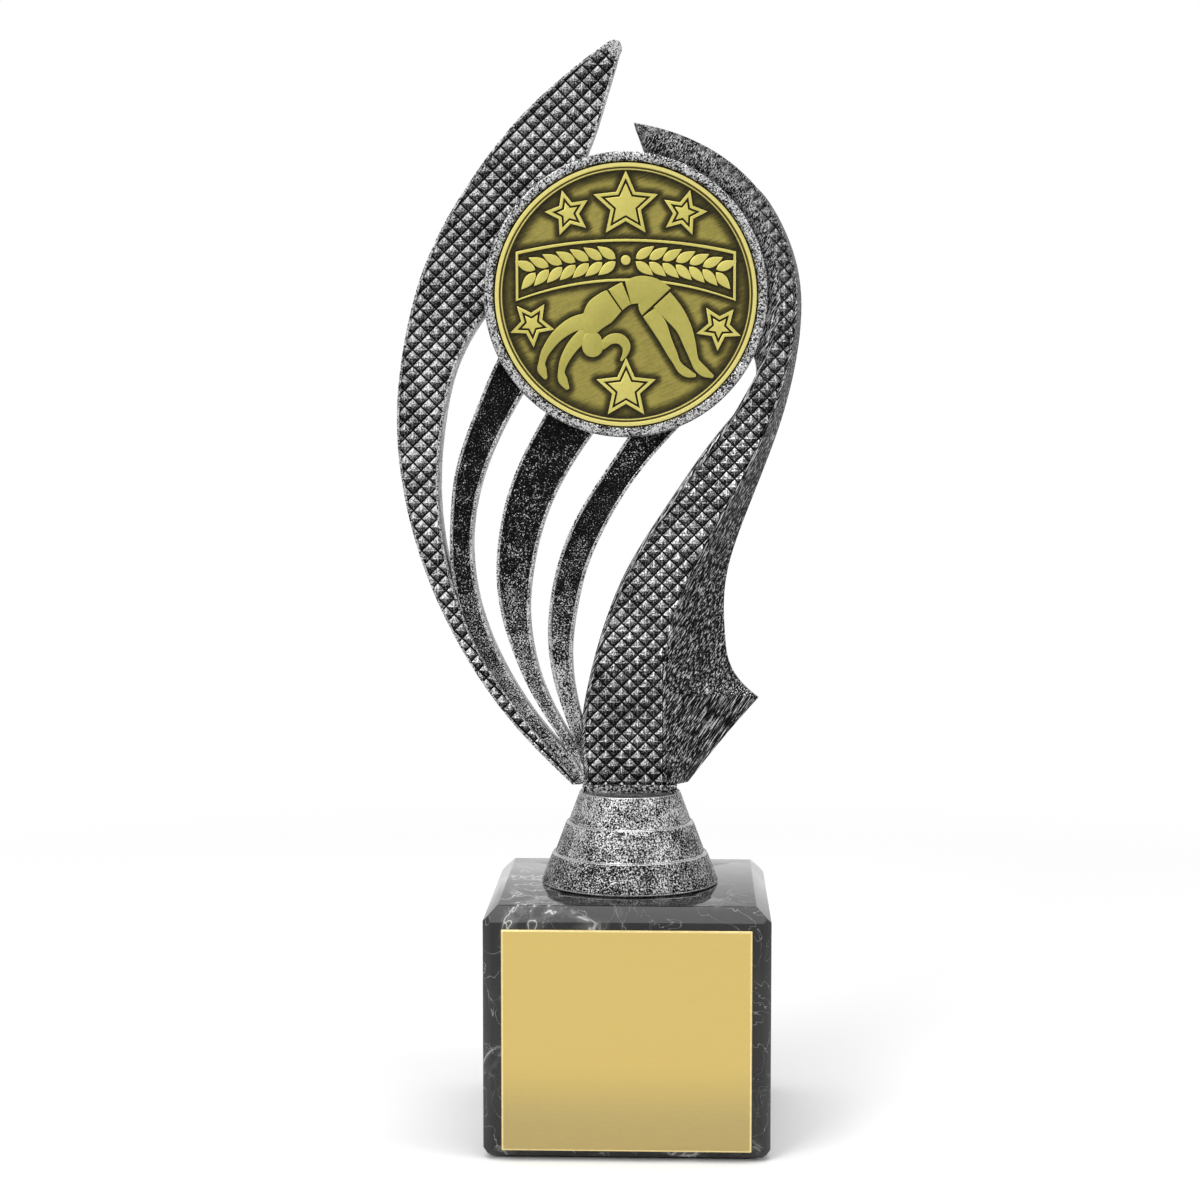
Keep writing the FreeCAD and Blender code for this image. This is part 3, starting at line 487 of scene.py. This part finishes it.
def knurlTree(material):  # lays tiles on a lattice and drapes them over a panel
    tree = bpy.data.node_groups.new("knurling", "GeometryNodeTree")
    face = tree.interface
    for name, kind in (("Tile", "Object"), ("Panel", "Object"), ("Pitch", "Float"), ("Reach", "Float"),
                       ("Columns", "Int"), ("Rows", "Int"), ("Corner", "Vector")):
        face.new_socket(name, in_out="INPUT", socket_type="NodeSocket" + kind)
    face.new_socket("Geometry", in_out="OUTPUT", socket_type="NodeSocketGeometry")
    start = tree.nodes.new("NodeGroupInput")
    given = {s.name: Flow(tree, s) for s in start.outputs if s.name}
    make = given["Pitch"].make

    def vectorMath(operation, *values, out=0):
        return make("ShaderNodeVectorMath", {"operation": operation}, dict(enumerate(values)), out)

    panel = make("GeometryNodeObjectInfo", {}, {"Object": given["Panel"]}, "Geometry")
    tile = make("GeometryNodeObjectInfo", {}, {"Object": given["Tile"], "As Instance": True}, "Geometry")
    half = given["Pitch"] * 0.5
    index = make("GeometryNodeInputIndex")
    column = index.maths("MODULO", index, given["Columns"])
    row = index.maths("FLOOR", index / given["Columns"])
    lattice = make("ShaderNodeCombineXYZ", {}, {0: column * half, 2: row * half})
    count = given["Columns"] * given["Rows"]
    spots = vectorMath("ADD", given["Corner"], lattice)
    points = make("GeometryNodePoints", {}, {"Count": count, "Position": spots})
    odd = index.maths("MODULO", column + row, 2.0)

    def drape(where, height):  # the panel's point in line with where, and how far past the edge it lies
        flat = vectorMath("MULTIPLY", where, (1, 0, 1))
        eye = vectorMath("ADD", flat, (0, -0.05, 0))
        ray = make("GeometryNodeRaycast", {"data_type": "FLOAT"}, {
            "Target Geometry": panel, "Source Position": eye, "Ray Direction": (0, 1, 0), "Ray Length": 0.1})
        outputs = ray.socket.node.outputs
        middle = vectorMath("ADD", flat, (0, -0.003, 0))
        near = make("GeometryNodeSwitch", {"input_type": "VECTOR"}, {
            0: Flow(tree, outputs["Is Hit"]), 1: middle, 2: Flow(tree, outputs["Hit Position"])})
        nearest = make("GeometryNodeProximity", {"target_element": "FACES"}, {
            0: panel, "Sample Position": near})
        lift = make("GeometryNodeInputNamedAttribute", {"data_type": "FLOAT_VECTOR"}, {"Name": "lift"})
        normal = make("GeometryNodeSampleNearestSurface", {"data_type": "FLOAT_VECTOR"}, {
            "Mesh": panel, "Value": lift, "Sample Position": nearest})
        normal = vectorMath("NORMALIZE", normal)
        past = vectorMath("MULTIPLY", vectorMath("SUBTRACT", near, nearest), (1, 0, 1))
        slope = make("ShaderNodeSeparateXYZ", {}, {0: normal}, 1)
        spot = make("ShaderNodeSeparateXYZ", {}, {0: nearest}, 1)
        depth = spot - vectorMath("DOT_PRODUCT", past, normal, out=1) / slope
        level = make("ShaderNodeCombineXYZ", {}, {1: depth})
        base = vectorMath("ADD", flat, level)
        raised = make("ShaderNodeVectorMath", {"operation": "SCALE"}, {0: normal, "Scale": height})
        return vectorMath("ADD", base, raised), vectorMath("LENGTH", past, out=1)

    here = make("GeometryNodeInputPosition")
    _, away = drape(here, 0.0)
    far = away.maths("GREATER_THAN", away, given["Pitch"] * given["Reach"])
    unwanted = odd.maths("GREATER_THAN", odd, 0.5).most(far)
    kept = make("GeometryNodeDeleteGeometry", {"domain": "POINT"}, {0: points, 1: unwanted})
    tiles = make("GeometryNodeInstanceOnPoints", {}, {0: kept, "Instance": tile})
    real = make("GeometryNodeRealizeInstances", {}, {0: tiles})
    height = make("ShaderNodeSeparateXYZ", {}, {0: here}, 1) * -1.0
    draped, _ = drape(here, height)
    placed = make("GeometryNodeSetPosition", {}, {0: real, "Position": draped})
    done = make("GeometryNodeSetMaterial", {}, {0: placed, "Material": material})
    end = tree.nodes.new("NodeGroupOutput")
    tree.links.new(done.socket, end.inputs[0])
    return tree


def knurlOn(piece, seed, name, tile, tree):  # tiles over the panel at seed, trimmed to the panel's outline
    panel = panelOf(piece, seed, name + "Panel")
    prism = prismOf(panel, name + "Prism")
    spots = [v.co for v in panel.data.vertices]
    pitch = knurl["pitch"]
    low = [math.floor(min(s[k] for s in spots) / pitch) * pitch - pitch for k in (0, 2)]
    size = [max(s[k] for s in spots) - start for k, start in zip((0, 2), low)]
    values = {"Tile": tile, "Panel": panel, "Pitch": pitch, "Reach": knurl["reach"],
              "Columns": int(size[0] / pitch * 2) + 4, "Rows": int(size[1] / pitch * 2) + 4,
              "Corner": (low[0], 0, low[1])}
    made = newObject(name, bpy.data.meshes.new(name))
    modifier = made.modifiers.new("knurling", "NODES")
    modifier.node_group = tree
    for item in tree.interface.items_tree:
        if item.in_out == "INPUT":
            modifier[item.identifier] = values[item.name]
    bakeModifiers(made)
    trim = made.modifiers.new("trim", "BOOLEAN")
    trim.operation = "INTERSECT"
    trim.solver = "MANIFOLD"
    trim.object = prism
    tiles = len(made.data.vertices) // 24
    bakeModifiers(made)
    print(name, tiles, "tiles,", len(made.data.polygons), "faces")
    discard(panel)
    discard(prism)
    return made


def knurledSilver(name, cover, lean):  # lean: painted light, how much brighter each point's upper side is than its lower one
    finish = Finish(name, Metallic=1.0)
    pitch = knurl["pitch"]
    a = (finish.x + finish.z) / pitch
    b = (finish.x - finish.z) / pitch
    a = a - a.maths("ROUND", a)  # each point stands where a and b are 0
    b = b - b.maths("ROUND", b)
    groove = abs(a).most(abs(b))
    ridge = abs(abs(a) - abs(b)).step(0.10, 0.0)
    grain = silverGrain(finish)
    blotch = finish.place.noise(knurl["blotch"], 2.0, 0.5)
    # painted light and shade: each point lighter on its upper and left faces, darker on its lower and right
    # ones
    paintedLightAndShade = (a - b) * lean - (a + b) * lean * 0.3
    wearAndPaintedLight = cover + paintedLightAndShade + ridge * 0.07 + (blotch - 0.5) * 0.2
    amount = flecks(grain * 0.9, wearAndPaintedLight + 0.05, knurl["soft"]) * groove.step(*knurl["groove"])
    bump = (amount + grain * 0.4).bump(0.4, 0.1 * mm)
    return finish.set(Base_Color=bareMetal(amount), Roughness=0.28 + (1 - amount) * 0.2, Normal=bump).material


moulding = {  # edge: the width of a softened edge; the rest in degrees
    "edge": 0.16 * mm, "angle": 28, "smooth": 38, "panelTurn": 25}


def largestFront(work):  # the largest smooth patch of faces that look to the front
    left = {f for f in work.faces if f.normal.y < -0.5}
    best, bestArea = [], 0.0
    while left:
        patch, todo = [], [left.pop()]
        while todo:
            face = todo.pop()
            patch.append(face)
            for edge in face.edges:
                if len(edge.link_faces) == 2 and edge.calc_face_angle() < math.radians(moulding["panelTurn"]):
                    near = [f for f in edge.link_faces if f in left]
                    left.difference_update(near)
                    todo += near
        area = sum(f.calc_area() for f in patch)
        if area > bestArea:
            best, bestArea = patch, area
    return best


def moulded(node, name, body, skin, edge=None, panel=None):  # a CAD piece with softened edges; an edge finish, when given, makes them rubbed bare with a painted highlight
    piece = mergedCopy(node, name)
    materials = [m for m in (skin, edge, panel) if m]
    for material in materials:
        piece.data.materials.append(material)
    if panel:
        work = bmesh.new()
        work.from_mesh(piece.data)
        for face in largestFront(work):
            face.material_index = 2
        work.to_mesh(piece.data)
        work.free()
    bevel = piece.modifiers.new("edges", "BEVEL")
    bevel.width = moulding["edge"]
    bevel.segments = 2
    bevel.limit_method = "ANGLE"
    bevel.angle_limit = math.radians(moulding["angle"])
    bevel.material = 1 if edge else 0
    bevel.use_clamp_overlap = True
    bakeModifiers(piece)
    smoothShade(piece.data, moulding["smooth"])
    ride(piece, body)
    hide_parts(node)
    print(name, len(piece.data.polygons), "faces")


knurledPieces = {  # a spot on the panel (x, z in metres), how bare it is and how strongly light and shade are painted on its points
    "left_blade": ("leftBladeKnurl", (-0.0405, 0.137), 0.475, 0.14),
    "ribbon": ("ribbonKnurl", (0.0, 0.093), 0.45, 0.10)}
mouldings = {  # each node's piece, its skin and the skin of its front panel
    "left_blade": ("leftBlade", "blade", None), "rib_left": ("leftRib", "ribRim", "rib"),
    "rib_middle": ("middleRib", "ribRim", "rib"), "rib_right": ("rightRib", "ribRim", "rib"),
    "ribbon": ("ribbonBand", "ribbon", None), "fin": ("outerFin", "fin", None),
    "medal_cup": ("medalBezel", "bezel", None), "figure_foot": ("figureFoot", "foot", None),
    "riser_skirt": ("riser", "riser", None)}


def makeFigure():
    finishes = makeSilver()
    tile = tileMesh()
    for node, (name, seed, cover, lean) in knurledPieces.items():
        tree = knurlTree(knurledSilver(name + "Silver", cover, lean))
        merged = mergedCopy(node, name + "Base")
        made = knurlOn(merged, seed, name, tile, tree)
        discard(merged)
        ride(made, "figure")
    discard(tile)
    for node, (name, skin, panel) in mouldings.items():
        moulded(node, name, "figure", finishes[skin], finishes["edge"], finishes.get(panel))


medal = {  # mm: how far the rim's parts lie inside the edge, and how deep; halo: how wide the dark wash is
    "rim": 1.3, "land": 0.7, "depth": 0.7, "groove": 0.3, "cove": 1.0, "soften": 0.06, "ring": 0.5,
    "segments": 240, "relief": 0.5, "soft": 0.15, "halo": 1.7}
stars = {  # mm; places: x and y from the disc's middle, radius, degrees of lean
    "line": 0.6, "gap": 0.36, "waist": 0.47, "places": (
        (0.0, 17.0, 6.5, 0), (-11.0, 15.5, 4.5, 15), (11.1, 15.5, 4.5, -15),
        (-17.9, -5.5, 4.5, 184), (17.8, -6.2, 4.5, 177), (0.1, -17.9, 6.0, 0))}
band = {  # mm; top and low: an edge's height in the middle and at the ends
    "half": 21.0, "top": (10.6, 8.2), "low": (2.6, -1.2), "line": 0.5, "steps": 24}
leaves = {  # mm, lean in degrees; apart: how far a leaf's stalk lies from the band's middle line
    "pairs": 7, "step": 2.55, "first": 1.9, "long": 4.3, "wide": 0.95, "lean": 36, "apart": 0.25, "bud": 0.95}


def raised(name, loops, middle, front, height, soft, material):  # filled outlines standing towards -Y
    curve = bpy.data.curves.new(name, "CURVE")
    curve.dimensions = "2D"
    curve.fill_mode = "BOTH"
    curve.bevel_depth = soft
    curve.bevel_resolution = 2
    curve.offset = -soft
    curve.extrude = height - soft
    for loop in loops:
        spline = curve.splines.new("POLY")
        spline.points.add(len(loop) - 1)
        for point, (x, y) in zip(spline.points, loop):
            point.co = (x * mm, y * mm, 0, 1)
        spline.use_cyclic_u = True
    maker = newObject(name, curve)
    bpy.context.view_layer.update()
    mesh = bpy.data.meshes.new_from_object(maker.evaluated_get(bpy.context.evaluated_depsgraph_get()))
    bpy.data.objects.remove(maker)
    bpy.data.curves.remove(curve)
    upright = Matrix.Rotation(math.radians(90), 4, "X")
    mesh.transform(Matrix.Translation(Vector((middle[0], front, middle[1]))) @ upright)
    work = bmesh.new()
    work.from_mesh(mesh)
    bmesh.ops.remove_doubles(work, verts=work.verts, dist=2e-6)
    bmesh.ops.recalc_face_normals(work, faces=work.faces)
    work.to_mesh(mesh)
    work.free()
    smoothShade(mesh, 50)
    mesh.materials.clear()
    mesh.materials.append(material)
    ride(newObject(name, mesh), "figure")


def starLoop(x, y, radius, lean):
    points = []
    for k in range(10):
        reach = radius if k % 2 == 0 else radius * stars["waist"]
        angle = math.radians(90 + lean + 36 * k)
        points.append((x + reach * math.cos(angle), y + reach * math.sin(angle)))
    return points


def starLoops():  # each star's outline, as an outer and an inner edge, and the small star inside it
    corner = Vector((math.cos(math.radians(36)), math.sin(math.radians(36)))) * stars["waist"]
    slimness = corner.y / (Vector((1, 0)) - corner).length  # how far an edge lies from the middle, in radii
    outlines, centres = [], []
    for x, y, reach, lean in stars["places"]:
        inside = reach - stars["line"] / slimness
        outlines += [starLoop(x, y, reach, lean), starLoop(x, y, inside, lean)[::-1]]
        centres.append(starLoop(x, y, inside - stars["gap"] / slimness, lean))
    return outlines, centres


def bandHeight(t, edge):  # the band's "top" or "low" edge at t from -1 to 1
    middle, ends = band[edge]
    return middle - (middle - ends) * t * t


def bandMiddle(t):
    return (bandHeight(t, "top") + bandHeight(t, "low")) / 2


def bandLoop(inset):
    shares = [2 * k / band["steps"] - 1 for k in range(band["steps"] + 1)]
    half = band["half"] - inset
    low = [(half * t, bandHeight(t, "low") + inset) for t in shares]
    high = [(half * t, bandHeight(t, "top") - inset) for t in shares]
    return low + high[::-1]


def leafLoop(x, y, degrees, steps=8):  # a leaf whose stalk is at x, y
    turn = math.radians(degrees)
    points = []
    for side in (1, -1):
        for k in range(steps):
            t = k / steps if side == 1 else 1 - k / steps
            along = leaves["long"] * t
            across = side * leaves["wide"] * math.sin(math.pi * t ** 0.8)
            points.append((x + along * math.cos(turn) - across * math.sin(turn),
                           y + along * math.sin(turn) + across * math.cos(turn)))
    return points


def garland():  # pairs of leaves that run outwards along the band from a bud in its middle
    angles = [math.pi * k / 8 for k in range(16)]
    bud = leaves["bud"]
    loops = [[(bud * math.cos(angle), bandMiddle(0) + bud * math.sin(angle)) for angle in angles]]
    for k in range(leaves["pairs"]):
        reach = leaves["first"] + leaves["step"] * k
        t, ahead = reach / band["half"], 0.05
        fall = bandHeight(t + ahead, "low") - bandHeight(t, "low")
        slope = math.degrees(math.atan2(fall, ahead * band["half"]))
        for lean in (leaves["lean"], -leaves["lean"]):
            stalk = bandMiddle(t) + math.copysign(leaves["apart"], lean)
            leaf = leafLoop(reach, stalk, slope * 0.8 + lean)
            loops += [leaf, [(-x, y) for x, y in reversed(leaf)]]
    return loops


def curveThrough(points, steps=8):  # a smooth run through given points of any number of values
    run = []
    ends = [points[0]] + list(points) + [points[-1]]
    for a, b, c, d in zip(ends, ends[1:], ends[2:], ends[3:]):
        for k in range(steps):
            t = k / steps
            weights = (2 * t ** 2 - t ** 3 - t, 2 - 5 * t ** 2 + 3 * t ** 3,
                       t + 4 * t ** 2 - 3 * t ** 3, t ** 3 - t ** 2)
            run.append(tuple(sum(w * v for w, v in zip(weights, values)) / 2 for values in zip(a, b, c, d)))
    return run + [tuple(points[-1])]


def limb(points, ends):  # the outline of a tapering limb; ends: "round" or "flat", for its start and its end
    run = curveThrough(points)
    left, right, ways = [], [], []
    for k, (x, y, wide) in enumerate(run):
        before, after = run[max(k - 1, 0)], run[min(k + 1, len(run) - 1)]
        along = Vector((after[0] - before[0], after[1] - before[1])).normalized()
        ways.append(along)
        left.append((x - along.y * wide, y + along.x * wide))
        right.append((x + along.y * wide, y - along.x * wide))

    def cap(k, turn):
        x, y, wide = run[k]
        side = Vector((-ways[k].y, ways[k].x)) * turn
        ahead = ways[k] * turn
        angles = [math.pi * j / 8 for j in range(1, 8)]
        return [(x + wide * (side.x * math.cos(a) + ahead.x * math.sin(a)),
                 y + wide * (side.y * math.cos(a) + ahead.y * math.sin(a))) for a in angles]

    end = cap(-1, 1) if ends[1] == "round" else []
    start = cap(0, -1) if ends[0] == "round" else []
    return left + end + right[::-1] + start


gymnast = {  # a plain figure in a back bend: its ends, then x, y and half width in mm from the disc's middle
    "farArm": ("round", "round", [
        (-8.0, -7.6, 1.3), (-10.0, -9.6, 1.15), (-11.6, -12.2, 0.9), (-12.3, -14.6, 0.66),
        (-12.0, -16.2, 0.9), (-11.2, -17.6, 0.45)]),
    "nearArm": ("round", "round", [
        (-6.6, -4.8, 1.6), (-10.0, -5.6, 1.4), (-13.0, -7.7, 1.15), (-15.2, -10.6, 0.85),
        (-16.0, -12.8, 0.66), (-16.0, -14.2, 0.9), (-15.4, -15.6, 0.45)]),
    "chest": ("round", "flat", [
        (-6.4, -5.2, 2.2), (-5.0, -3.4, 2.9), (-3.3, -1.9, 2.75), (-2.2, -1.1, 2.45)]),
    "midriff": ("flat", "flat", [(-1.97, -0.95, 2.4), (-0.7, -0.1, 2.3), (0.2, 0.3, 2.3)]),
    "skirt": ("flat", "flat", [(0.45, 0.42, 2.3), (2.6, 0.9, 2.7), (4.4, 0.2, 3.3), (5.9, -1.3, 3.8)]),
    "farLeg": ("flat", "round", [
        (4.5, -3.25, 1.5), (6.3, -5.8, 1.55), (7.7, -8.7, 1.15), (8.9, -11.1, 0.95), (9.8, -12.9, 0.7),
        (10.7, -14.1, 0.85), (11.9, -14.9, 0.8), (13.1, -15.3, 0.4)]),
    "nearLeg": ("flat", "round", [
        (6.9, -0.9, 2.15), (9.2, -3.5, 1.95), (11.1, -6.3, 1.5), (12.2, -9.3, 1.2), (13.1, -12.2, 0.8),
        (13.9, -13.6, 0.95), (15.1, -14.7, 0.9), (16.4, -15.4, 0.45)]),
    "head": ("round", "round", [(-6.4, -8.8, 1.9), (-6.3, -9.8, 2.05)]),
    "hair": ("round", "round", [
        (-4.4, -9.6, 0.8), (-2.8, -8.4, 0.95), (-1.0, -8.4, 1.0), (0.1, -9.7, 0.85), (-0.1, -11.2, 0.55),
        (-0.8, -12.4, 0.25)])}
gymnastLift = {  # mm above the rest
    "nearArm": 0.06, "chest": 0.1, "skirt": 0.1, "nearLeg": 0.05, "head": 0.05}
gold = {  # relief and figure: the metal's two tones; wash: the dark between them
    "metal": 0.75, "relief": ((0.42, 0.37, 0.08), (0.62, 0.555, 0.165)),
    "figure": ((0.29, 0.26, 0.055), (0.46, 0.415, 0.105)), "wash": (0.05, 0.041, 0.009),
    "rim": ((0.42, 0.36, 0.08), (0.78, 0.70, 0.26)),
    "field": ((0.016, 0.013, 0.004), (0.075, 0.062, 0.014), (0.31, 0.265, 0.062))}


def discProfile(back, top, radius):  # in mm: a flat back, a grooved rim and the sunk field, cut into rings
    face = top - medal["depth"]
    land, rim = radius - medal["land"], radius - medal["rim"]
    groove, bead = top - medal["groove"], top - 0.1
    field = rim - medal["cove"]
    corners = [(0, back), (radius, back), (radius, top), (land, top), (land - 0.15, groove),
               (land - 0.4, groove), (land - 0.5, bead), (rim, bead), (rim - 0.2, face), (field, face)]
    rings = int(field / medal["ring"])
    return rounded(corners, medal["soften"]) + [(field * (1 - k / rings), face) for k in range(1, rings + 1)]


def makeMedal():
    low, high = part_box("medal")
    middle = ((low.x + high.x) / 2, (low.z + high.z) / 2)
    radius, top = (high.x - low.x) / 2 / mm, -low.y / mm
    profile = [(r * mm, h * mm) for r, h in discProfile(-high.y / mm, top, radius)]
    disc = turned("medalDisc", profile, medal["segments"], Vector((middle[0], 0, middle[1])))
    outlines, centres = starLoops()
    edging = [bandLoop(0), bandLoop(band["line"])[::-1]]
    leafLoops = garland()
    figure = {name: limb(points, ends) for name, (*ends, points) in gymnast.items()}
    shadeDisc(disc, middle, outlines + centres + edging + leafLoops + list(figure.values()))
    face = (top - medal["depth"]) * mm
    disc.data.materials.append(fieldGold(face))
    ride(disc, "figure")
    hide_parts("medal")
    relief = raisedGold("raisedGold", face, *gold["relief"])
    skin = raisedGold("figureGold", face, *gold["figure"])
    rise, soft = medal["relief"] * mm, medal["soft"] * mm
    raised("starOutlines", outlines, middle, -face, rise, soft * 0.8, relief)
    raised("starCentres", centres, middle, -face, rise, soft, relief)
    raised("bandEdging", edging, middle, -face, rise * 0.9, soft * 0.8, relief)
    raised("garland", leafLoops, middle, -face, rise * 0.9, soft, relief)
    for name, loop in figure.items():
        lift = rise * 0.85 + gymnastLift.get(name, 0) * mm
        raised("gymnast" + name[0].upper() + name[1:], [loop], middle, -face, lift, soft * 0.9, skin)
    print("medal made")


def shadeDisc(disc, middle, loops, spacing=0.3):  # keeps at each vertex how far it lies from the relief
    spots = []
    for loop in loops:
        for (x1, y1), (x2, y2) in zip(loop, loop[1:] + loop[:1]):
            count = max(1, int(math.hypot(x2 - x1, y2 - y1) / spacing))
            spots += [(x1 + (x2 - x1) * k / count, y1 + (y2 - y1) * k / count) for k in range(count)]
    tree = kdtree.KDTree(len(spots))
    for k, (x, y) in enumerate(spots):
        tree.insert(Vector((middle[0] + x * mm, 0, middle[1] + y * mm)), k)
    tree.balance()
    halo = disc.data.attributes.new("halo", "FLOAT", "POINT")
    for k, vertex in enumerate(disc.data.vertices):
        halo.data[k].value = tree.find(Vector((vertex.co.x, 0, vertex.co.z)))[2] / mm / medal["halo"]


def raisedGold(name, face, dark, light):  # face: the field's height towards -Y, where the wash lies darkest
    finish = Finish(name, Metallic=gold["metal"])
    fine = finish.place.noise(1800.0, 3.0, 0.6)
    slow = finish.place.noise(110.0, 2.0, 0.5)
    height = (0.0 - finish.y - face).step(0.02 * mm, 0.38 * mm)
    tone = (fine * 0.35 + slow * 0.5 + 0.08).colours((0.2, dark), (0.8, light))
    return finish.set(Base_Color=height.mix(rgba(gold["wash"]), tone), Roughness=0.34 + fine * 0.12,
                      Normal=fine.bump(0.2, 0.05 * mm)).material


def fieldGold(face):  # the disc with its dark field, which clears away from the relief, and its bright rim
    finish = Finish("antiqueGoldDisc", Metallic=gold["metal"])
    halo = finish.place.make("ShaderNodeAttribute", {"attribute_name": "halo"}, {}, 2)
    inward = 1 - fromMiddle(finish, "medal")
    fine = finish.place.noise(1500.0, 3.0, 0.6)
    marks = strokes(finish, *brushed["field"])
    clear = halo.step(0.0, 1.0) * inward.step(0.05, 0.16)
    shade = clear * 0.75 + (fine - 0.5) * 0.25 + (marks - 0.5) * 0.5
    dark, dull, light = gold["field"]
    field = shade.colours((0.0, dark), (0.36, dull), (0.85, light))
    dark, light = gold["rim"]
    rim = (fine * 0.4 + 0.4).colours((0.0, dark), (1.0, light))
    groove = inward.step(0.030, 0.034) * inward.step(0.047, 0.042)
    height = (0.0 - finish.y - face).step(0.1 * mm, 0.35 * mm)
    tone = height.mix(field, groove.mix(rim, rgba(gold["wash"])))
    finish.set(Base_Color=tone, Roughness=0.36 + fine * 0.12, Normal=fine.bump(0.2, 0.06 * mm))
    return finish.material


stone = {  # veins: noise scale, detail, roughness, twist, the level they follow and their width
    "thick": (52.0, 4.0, 0.58, 1.2, 0.5, 0.012), "thin": (95.0, 3.0, 0.5, 2.2, 0.5, 0.006),
    "hair": (190.0, 2.0, 0.5, 1.5, 0.52, 0.004), "haze": (52.0, 4.0, 0.58, 1.2, 0.5, 0.07),
    "vein": (0.50, 0.50, 0.49), "ground": (0.006, 0.022), "rough": 0.07, "index": 1.41}


def vein(finish, kind):
    scale, detail, rough, twist, level, width = stone[kind]
    return abs(finish.place.noise(scale, detail, rough, twist) - level).step(width, 0.0)


def marble():
    finish = Finish("blackMarble", Roughness=stone["rough"], IOR=stone["index"])
    warp = finish.place.noise(38.0, 3.0, 0.6, 0.6)
    gate = warp.step(0.47, 0.62)
    bold = (vein(finish, "thick") * 0.9 + vein(finish, "hair") * 0.3 + vein(finish, "haze") * 0.16) * gate
    faint = vein(finish, "thin") * warp.step(0.62, 0.45) * 0.5
    specks = finish.place.noise(900.0, 2.0, 0.6).step(0.74, 0.84) * 0.25
    dark, light = stone["ground"]
    ground = finish.place.noise(60.0, 4.0, 0.6).colours((0.3, grey(dark)), (0.75, grey(light)))
    colour = (bold + faint + specks).least(1.0).mix(ground, rgba(stone["vein"]))
    return finish.set(Base_Color=colour).material


plate = {  # the brushed face's tones low and high up, its lower part darker as a painted reflection, its grain's tint, and the edge's two tones, a painted highlight
    "low": (0.385, 0.295, 0.108), "high": (0.545, 0.40, 0.112), "fade": (0.10, 0.42),
    "tint": (0.78, 0.62, 0.27), "edge": ((0.72, 0.56, 0.22), (0.88, 0.74, 0.38))}


def plateGold():
    low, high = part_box("engraving_plate")
    finish = Finish("satinGoldPlate", Metallic=0.35)
    up = (finish.z - low.z) / (high.z - low.z)
    grain = finish.place.stretched(1.0, 1.0, 14.0).noise(700.0, 2.0, 0.5)
    # painted reflection: the face darker low down, lighter higher up
    tone = up.step(*plate["fade"]).mix(rgba(plate["low"]), rgba(plate["high"]))
    colour = (grain * 0.16).mix(tone, rgba(plate["tint"]))
    finish.set(Base_Color=colour, Roughness=0.34 + grain * 0.08, Normal=grain.bump(0.06, 0.03 * mm))
    # the bevelled edge: a painted highlight, lighter than the face
    rim = Finish("plateEdgeHighlight", Metallic=0.4, Roughness=0.25)
    fleck = rim.place.noise(900.0, 2.0, 0.5)
    dark, light = plate["edge"]
    rim.set(Base_Color=fleck.colours((0.2, dark), (0.8, light)))
    return finish.material, rim.material


def feltBlack():
    finish = Finish("blackFelt", Roughness=0.95, Sheen_Weight=0.3, Sheen_Roughness=0.5)
    fibre = finish.place.noise(2200.0, 3.0, 0.7, 1.5)
    colour = fibre.colours((0.3, grey(0.012)), (0.75, grey(0.045)))
    return finish.set(Base_Color=colour, Normal=fibre.bump(0.6, 0.2 * mm)).material


def zincSteel():
    finish = Finish("zincSteel", Metallic=1.0)
    smear = finish.place.stretched(1.0, 1.0, 0.3).noise(500.0, 3.0, 0.6)
    colour = smear.colours((0.3, (0.42, 0.44, 0.46)), (0.7, (0.66, 0.67, 0.68)))
    bump = smear.bump(0.1, 0.05 * mm)
    return finish.set(Base_Color=colour, Roughness=0.24 + smear * 0.2, Normal=bump).material


def foamBlack():
    finish = Finish("blackFoam", Roughness=0.9)
    cells = finish.place.noise(3000.0, 2.0, 0.6)
    colour = cells.colours((0.3, grey(0.01)), (0.7, grey(0.04)))
    return finish.set(Base_Color=colour, Normal=cells.bump(0.5, 0.1 * mm)).material


def clearTape():
    finish = Finish("tapeFilm", Roughness=0.45)
    cloud = finish.place.noise(260.0, 2.0, 0.5)
    return finish.set(Base_Color=cloud.colours((0.3, grey(0.5)), (0.7, grey(0.62)))).material


def dressNode(name, material):  # a CAD node that stays as it is, with its own finish
    slots = nodes[name].material_slots
    if not slots:
        nodes[name].data.materials.append(material)
    for slot in slots:
        slot.material = material


def makeBase():
    moulded("marble_base", "marbleBlock", "base", marble())
    face, rim = plateGold()
    moulded("engraving_plate", "nameplate", "base", face, rim)
    dressNode("felt_pad", feltBlack())
    dressNode("plate_tape", clearTape())
    steel = zincSteel()
    for name in ("base_washer", "spring_washer", "base_nut", "tie_rod", "captive_nut"):
        dressNode(name, steel)
    dressNode("medal_pad", foamBlack())
    print("base made")


makeCamera()
makeWorld()
makeFloor()
makeLamps()
makeFigure()
makeMedal()
makeBase()
